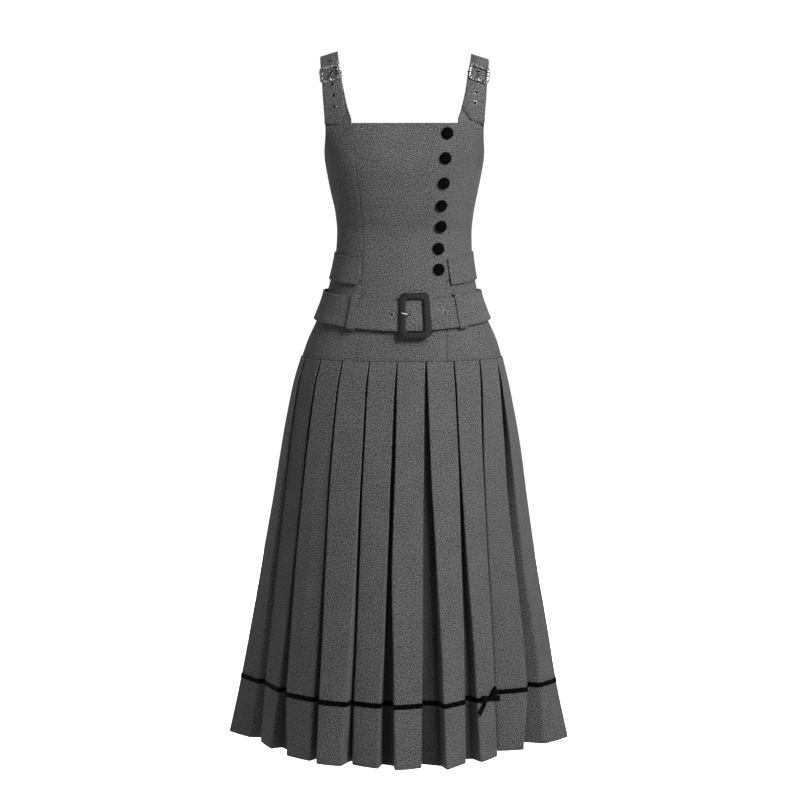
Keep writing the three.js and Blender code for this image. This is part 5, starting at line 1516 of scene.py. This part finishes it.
    def build(self, wardrobe: Wardrobe, stitches: StitchRun) -> None:
        grid = self.grid()
        belt = sheet_mesh("belt_cloth", grid, BELT_CLOTH)
        outs = [float(belt_out(360 + buckle_turn(u))) for u in BELT_EYELETS]
        frames = [belt_frame(u, EYELET_ROW, out) for u, out in zip(BELT_EYELETS, outs)]
        pierce(belt, [hole_cutter(BELT_CLOTH, f) for f in frames])
        wardrobe.dress(belt, Finish.WOOL, ["belt"])
        rings = [eyelet("eyelet", BELT_CLOTH, f) for f in frames]
        names = [f"belt_eyelet_{k}" for k in range(1, 6)]
        # Painted shade: dark velvet discs fill the eyelets' holes, where there is only shadow.
        wardrobe.dress(join_pieces("belt_eyelet_shade_discs", [painted_hole_shade(f) for f in frames]), Finish.VELVET)
        wardrobe.dress(join_pieces("belt_eyelets", rings), Finish.TARNISHED, names)
        wardrobe.dress(self.buckle(), Finish.COVERED, ["belt_buckle"])
        wardrobe.dress(self.prong(), Finish.SILVER, ["belt_prong"])
        lifted = grid + grid_normals(grid) * 0.1
        seams = [lifted[1, 16:], lifted[-2, 16:], lifted[1:-1, -3]]
        for name, angle in BELT_LOOPS.items():
            loop = self.loop_grid(angle)
            piece = sheet_mesh(name + "_cloth", loop, 1.5)
            wardrobe.dress(piece, Finish.WOOL, [name])
            raised = loop + grid_normals(loop) * 0.1
            seams += [raised[2:-2, 1], raised[2:-2, -2]]
        run = stitches.sew("belt_topstitch", seams, Pitch=3.0, Stitch_length=2.0, Thread_radius=0.18)
        wardrobe.dress(run, Finish.THREAD)


# Skirt

class PleatPlan:
    """The plan of the pleated skirt at every height."""

    def __init__(self) -> None:
        """Lays out the pleats along the yoke seam."""
        self.seam_angles = SKIRT.even_angles(YOKE_SEAM_Z, FIRST_PLEAT_ANGLE, PLEATS)[:PLEATS]

    def fall(self, z: Array) -> Array:
        """Returns how far down the skirt a height is, from 0 to 1."""
        return np.clip((YOKE_SEAM_Z - z) / (YOKE_SEAM_Z - HEM_Z), 0, 1)

    def seam_span(self, face: int) -> tuple[float, float]:
        """Returns the two seam angles between which a face starts."""
        slot = (face - FACES_LEFT_OF_FIRST) % PLEATS
        wrap = -360 if face < FACES_LEFT_OF_FIRST else 0
        start = self.seam_angles[slot] + wrap
        end = self.seam_angles[slot + 1] + wrap if slot + 1 < PLEATS else FIRST_PLEAT_ANGLE
        return start, end

    def face(self, face: int, z: Array) -> dict[str, Array]:
        """Returns a face's edges, middle and directions at an array of heights."""
        at, out, wide, turn, _ = PLEAT_FACES.rows[face]
        fall = self.fall(z)
        start, end = self.seam_span(face)
        angle = mix((start + end) / 2, at, fall)
        per_degree = SKIRT.length_per_degree(z, angle)
        seam_width = (end - start) * SKIRT.length_per_degree(YOKE_SEAM_Z, angle) - SEAM_PLEAT_GAP
        width = mix(seam_width, wide, fall)
        centre, normal = SKIRT.point(z, angle, out * fall)
        spin = np.radians(turn * fall)
        along = np.stack([-normal[:, 1] * np.cos(spin) - normal[:, 0] * np.sin(spin),
                          normal[:, 0] * np.cos(spin) - normal[:, 1] * np.sin(spin), 0 * z], -1)

        def edge(end_of: int, name: str) -> Array:
            """Returns the left (-1) or right (1) edge, trimmed to where the cloth falls."""
            flat = centre + along * (end_of * width / 2)[:, None]
            bent = SKIRT.point(z, angle + end_of * width / 2 / per_degree, out * fall)[0]
            place = mix(bent, flat, fall[:, None])
            trim = PLEAT_TRIM.get((face, name))
            return place + along * curve_through(TRIM_HEIGHTS, trim)(z)[:, None] if trim else place

        left, right = edge(-1, "left"), edge(1, "right")
        return {"left": left, "middle": (left + right) / 2, "right": right, "along": along,
                "inward": -normal}

    def corner(self, face: int, end_of: int, deep: float, z: Array) -> Array:
        """Returns the corner of the recess behind a face's edge."""
        parts, fall = self.face(face, z), self.fall(z)
        edge = parts["right"] if end_of > 0 else parts["left"]
        depth = mix(SEAM_RECESS_DEPTH, 1.25 * deep, fall ** 0.85)[:, None]
        under = (SEAM_UNDERLAP * (1 - fall) ** 1.6 + 0.5)[:, None]
        return edge + parts["inward"] * depth - parts["along"] * end_of * under


@dataclass
class Skirt:
    """The pleated skirt in two halves, the ribbon round it and the bow's frame."""

    seam_fold: float = 1.6
    hem_fold: float = 4.0
    corner_points: int = 4
    face_points: int = 5
    wall_points: int = 3
    recess_points: int = 2
    side_gap: float = 0.01
    hem_turn: float = 34.0
    hem_fold_cloth: float = 1.2
    plan: PleatPlan = None

    def __post_init__(self) -> None:
        """Lays out the pleats."""
        self.plan = PleatPlan()

    def control(self, faces: Sequence[int], z: Array) -> tuple[list[Array], list[int]]:
        """Returns the folded path's corners at each height and how many points follow each corner."""
        plan, path, counts = self.plan, [], []
        for k, face in enumerate(faces):
            before, after = (face - 1) % PLEATS, (face + 1) % PLEATS
            deep_before, deep_after = PLEAT_FACES.rows[before][4], PLEAT_FACES.rows[face][4]
            start = plan.corner(face, -1, deep_before, z)
            end = plan.corner(face, 1, deep_after, z)
            if k == 0:
                other = plan.corner(before, 1, deep_before, z)
                path.append((start + other) / 2 + unit(start - other) * self.side_gap)
                counts.append(self.recess_points)
            parts = plan.face(face, z)
            crown = self.crown(face, z)[:, None] * -parts["inward"]
            path += [start, parts["left"], parts["middle"] + crown, parts["right"], end]
            other = plan.corner(after, -1, deep_after, z)
            middle = (end + other) / 2
            if k == len(faces) - 1:
                middle = middle + unit(end - other) * self.side_gap
            path.append(middle)
            counts += [self.wall_points, self.face_points, self.face_points, self.wall_points,
                       self.recess_points, self.recess_points]
        return path, counts

    def crown(self, face: int, z: Array) -> Array:
        """Returns how far a face's middle stands out of its edges."""
        fall = self.plan.fall(z)
        return (0.5 + 0.9 * math.sin(face * 2.3) * np.sin(fall * 5.1 + face) + 1.1 * fall) * smooth(fall * 4)

    def grid(self, faces: Sequence[int], z: Array, distance: float) -> Array:
        """Returns the surface a distance out of the middle of the cloth, with soft folds at its corners.

        Args:
            faces: the run of faces.
            z: the heights of the rows, from the bottom up.
            distance: how far out the surface lies.

        Returns:
            The grid of points, columns from the viewer's left on the front.
        """
        path, counts = self.control(faces, z)
        fold = mix(self.seam_fold, self.hem_fold, self.plan.fall(z))[:, None]
        columns = [path[0]]
        last = len(path) - 1
        tail = path[0]
        for k in range(1, last + 1):
            head, here = path[k - 1], path[k]
            gap = np.linalg.norm(here - head, axis=1, keepdims=True)
            if k == last:
                stop = here
            else:
                stop = here - unit(here - head) * np.minimum(fold, 0.42 * gap)
            for share in np.linspace(0, 1, counts[k - 1] + 2)[1:]:
                columns.append(mix(tail, stop, share))
            if k < last:
                following = path[k + 1]
                ahead = np.linalg.norm(following - here, axis=1, keepdims=True)
                leave = here + unit(following - here) * np.minimum(fold, 0.42 * ahead)
                for share in np.linspace(0, 1, self.corner_points + 1)[1:]:
                    columns.append(mix(mix(stop, here, share), mix(here, leave, share), share))
                tail = leave
        grid = np.stack(columns, 1)
        if distance:
            grid = grid + grid_normals(grid) * distance
        return grid

    def build(self, wardrobe: Wardrobe, stitches: StitchRun) -> None:
        low = np.linspace(HEM_Z, YOKE_SEAM_Z - SEAM_GAP, 82)
        for word, faces in (("front", range(10)), ("back", range(10, 20))):
            grid = self.grid(faces, low, SKIRT_CLOTH / 2)
            thick = SKIRT_CLOTH + self.hem_fold_cloth * smooth((HEM_Z + self.hem_turn - low) / 2)
            per_face = (grid.shape[1] - 1) / 10
            middles = [round((k + 0.5) * per_face) for k in range(10)]
            # Painted shade: columns deep in a pleat's recess are marked so the wool's colour darkens there.
            from_recess = per_face / 2 - np.abs(np.arange(grid.shape[1]) % per_face - per_face / 2)
            pleat_shade_mask = 1 - smooth((from_recess / per_face - 0.16) / 0.1)
            skirt = sheet_mesh(f"skirt_{word}_cloth", grid, thick[:, None], middles, pleat_shade_mask)
            wardrobe.dress(skirt, Finish.WOOL, [f"skirt_{word}"])
            band = np.linspace(RIBBON_TOP_Z - RIBBON_WIDTH, RIBBON_TOP_Z, 4)
            under = SKIRT_CLOTH / 2 + 0.05 + RIBBON_CLOTH
            strip = self.grid(faces, band, under)
            ribbon = sheet_mesh(f"hem_ribbon_{word}_velvet", strip, RIBBON_CLOTH)
            wardrobe.dress(ribbon, Finish.VELVET, [f"hem_ribbon_{word}"])

    def bow_frame(self) -> np.ndarray:
        """Returns the bow's frame on the eighth face, as a matrix in millimetres."""
        z = RIBBON_TOP_Z - RIBBON_WIDTH / 2
        rows = self.plan.face(7, np.array([z - 20, z, z + 20]))
        along = unit(rows["right"][1] - rows["left"][1])
        upward = rows["middle"][2] - rows["middle"][0]
        upward = unit(upward - along * (upward @ along))
        out = np.cross(along, upward)
        clear = SKIRT_CLOTH / 2 + SEAM_GAP + RIBBON_CLOTH + 0.7
        return np.vstack([np.c_[along, upward, out, rows["middle"][1] + out * clear], [0, 0, 0, 1]])


@dataclass
class Bow:
    """A small velvet bow: knot, two loops and two tails."""

    ribbon: float = 9.6
    cloth: float = 0.9
    knot_half_width: float = 2.6
    knot_height: float = 9.5
    knot_depth: float = 5.6

    def start(self, rise: float) -> float:
        """Returns how far from the middle a strip leaves the knot."""
        tilt = abs(math.radians(rise))
        return (self.knot_half_width + 2.5 * math.sin(tilt)) / math.cos(tilt)

    def strip(self, name: str, path: Sequence[tuple[float, float]], side: int, rise: float,
              width: Curve, frame_of: Array, notch: float = 0.0) -> bpy.types.Object:
        """Returns a strip of ribbon along a path of distance and height, turned into its direction."""
        fine = smooth_path(np.array([(x, 0, y) for x, y in path]), 30)
        across = np.linspace(-0.5, 0.5, 9)
        wide = width(fine[:, 0])
        share = np.linspace(0, 1, 30)
        pull = notch * (1 - 2 * np.abs(across))[:, None] * smooth((share - 0.75) * 4)[None, :]
        pinch = 0.5 * np.cos(across * 2 * np.pi * 1.5)[:, None] * (1 - smooth((fine[:, 0] - fine[:, 0].min()) / 9))
        local = np.stack([fine[None, :, 0] - pull, across[:, None] * wide[None, :],
                          fine[None, :, 2] + pinch], -1)
        if side < 0:
            local = local * np.array([-1, -1, 1])
        turn = side * math.radians(rise)
        spin = np.array([[math.cos(turn), -math.sin(turn), 0], [math.sin(turn), math.cos(turn), 0], [0, 0, 1]])
        grid = local @ spin.T @ frame_of[:3, :3].T + frame_of[:3, 3]
        return sheet_mesh(name, grid, self.cloth)

    def build(self, wardrobe: Wardrobe, frame_of: Array) -> None:
        for word, side, long, rise in (("left", -1, 18, 8), ("right", 1, 21, 32)):
            start = self.start(rise)
            end = start + long
            half = (start + end) / 2
            path = [(start, 3.0), (half, 1.4), (end - 3, 1.8), (end, 3.5), (end - 3, 5.6), (half, 6.2),
                    (start, 4.6)]
            loop = self.strip(f"bow_loop_{word}_velvet", path[::-1], side, rise,
                              lambda x: mix(5, self.ribbon, smooth((x - start) / 12)), frame_of)
            wardrobe.dress(loop, Finish.VELVET, [f"bow_loop_{word}"])
        for word, side, long, rise in (("left", -1, 30, -40), ("right", 1, 32, -9)):
            start = self.start(rise)
            path = [(start + long, 1.4), (start + long * 0.6, 1.0), (start + 6, 1.0), (start, 1.4)]
            tail = self.strip(f"bow_tail_{word}_velvet", path[::-1], side, rise,
                              lambda x: mix(4.5, self.ribbon, smooth((x - start) / 10)), frame_of, 3.0)
            wardrobe.dress(tail, Finish.VELVET, [f"bow_tail_{word}"])
        self.knot(wardrobe, frame_of)

    def knot(self, wardrobe: Wardrobe, frame_of: Array) -> None:
        """Makes the knot, a rounded wrap with two soft folds."""
        rings = []
        for t in np.linspace(-1, 1, 15):
            squash = (1 - abs(t) ** 4) ** 0.35 if abs(t) < 1 else 0.3
            width = self.knot_half_width * (0.75 + 0.25 * squash)
            ring = []
            for a in np.linspace(0, 2 * np.pi, 24, endpoint=False):
                fold = 0.25 * math.cos(3 * a)
                ring.append((width * math.cos(a) + 0.15 * fold, t * self.knot_height / 2,
                             self.knot_depth * (0.5 + (0.5 * squash + 0.05 * fold) * math.sin(a))))
            rings.append(ring)
        rings = np.array(rings)[:, ::-1] @ frame_of[:3, :3].T + frame_of[:3, 3]
        wardrobe.dress(loft_mesh("bow_knot_velvet", rings, closed=False), Finish.VELVET, ["bow_knot"])


# Studio

@dataclass
class Studio:
    """Pale floor, soft lights and the camera."""

    camera_place: tuple[float, float, float] = (-0.0075, -4.2, -0.163)
    down: float = 5.7
    lens: float = 112.5
    floor_z: float = -1.42
    room: float = 0.36

    def build(self) -> None:
        """Makes the floor, the lights, the surroundings and the camera."""
        scene = bpy.context.scene
        camera = bpy.data.objects.new("camera", bpy.data.cameras.new("camera"))
        camera.data.lens, camera.data.sensor_width = self.lens, 36
        camera.location = self.camera_place
        camera.rotation_euler = (math.radians(90 - self.down), 0, 0)
        scene.collection.objects.link(camera)
        scene.camera = camera
        scene.view_settings.view_transform = "Standard"
        self.floor()
        self.light("key", (1.5, -1.85, 0.95), (0, 0, -0.12), 1.0, 122)
        self.light("behind", (0, 3.6, -0.4), (0, 0, -0.55), 1.2, 150)
        self.surroundings()

    def light(self, name: str, place: tuple[float, float, float], target: tuple[float, float, float],
              size: float, power: float) -> None:
        """Adds a square soft light that faces a target."""
        data = bpy.data.lights.new(name, "AREA")
        data.shape, data.size, data.energy = "SQUARE", size, power
        lamp = bpy.data.objects.new(name, data)
        lamp.location = place
        lamp.rotation_euler = (Vector(target) - Vector(place)).to_track_quat("-Z", "Y").to_euler()
        bpy.context.scene.collection.objects.link(lamp)

    def surroundings(self) -> None:
        """Makes the white backdrop, and the dimmer even light of the room."""
        world = bpy.data.worlds.new("surroundings")
        bpy.context.scene.world = world
        world.use_nodes = True
        tree = world.node_tree
        seen, level = tree.nodes.new("ShaderNodeLightPath"), tree.nodes.new("ShaderNodeMapRange")
        level.inputs["To Min"].default_value, level.inputs["To Max"].default_value = self.room, 1.02
        tree.links.new(seen.outputs["Is Camera Ray"], level.inputs["Value"])
        background = tree.nodes["Background"]
        background.inputs["Color"].default_value = (1, 1, 1, 1)
        tree.links.new(level.outputs[0], background.inputs["Strength"])

    def floor(self) -> None:
        """Makes the pale floor, which glows a little, as over a light table."""
        shade = Shade("pale_floor")
        speckle = shade.noise(shade.object_place(), 40.0, 2.0)
        colour = shade.grey(speckle.held(), (0.9, 0.9, 0.9), (0.95, 0.95, 0.95))
        material = shade.finish(None, 0.0, Base_Color=colour, Roughness=0.9,
                                Emission_Color=(1, 1, 1, 1), Emission_Strength=0.75)
        edge = 90000.0
        points = np.array([(-edge, -edge, 0), (edge, -edge, 0), (edge, edge, 0), (-edge, edge, 0)], float)
        points[:, 2] = self.floor_z / MM
        ground = make_mesh("floor", points, np.array([[0, 1, 2, 3]]))
        ground.data.materials.append(material)
        ground.visible_diffuse = False


def main() -> None:
    """Builds the dress and its studio in order."""
    logging.basicConfig(level=logging.INFO, format="%(name)s: %(message)s")
    Studio().build()
    wardrobe = Wardrobe()
    stitches = StitchRun(wardrobe.materials[Finish.THREAD])
    paths = {side: StrapPath(side) for side in (-1, 1)}
    Bodice().build(wardrobe, stitches, paths)
    Shoulders().build(wardrobe, stitches, paths)
    ButtonRow().build(wardrobe)
    PocketFlaps().build(wardrobe, stitches)
    Belt().build(wardrobe, stitches)
    skirt = Skirt()
    skirt.build(wardrobe, stitches)
    Bow().build(wardrobe, skirt.bow_frame())


if __name__ == "__main__":
    main()
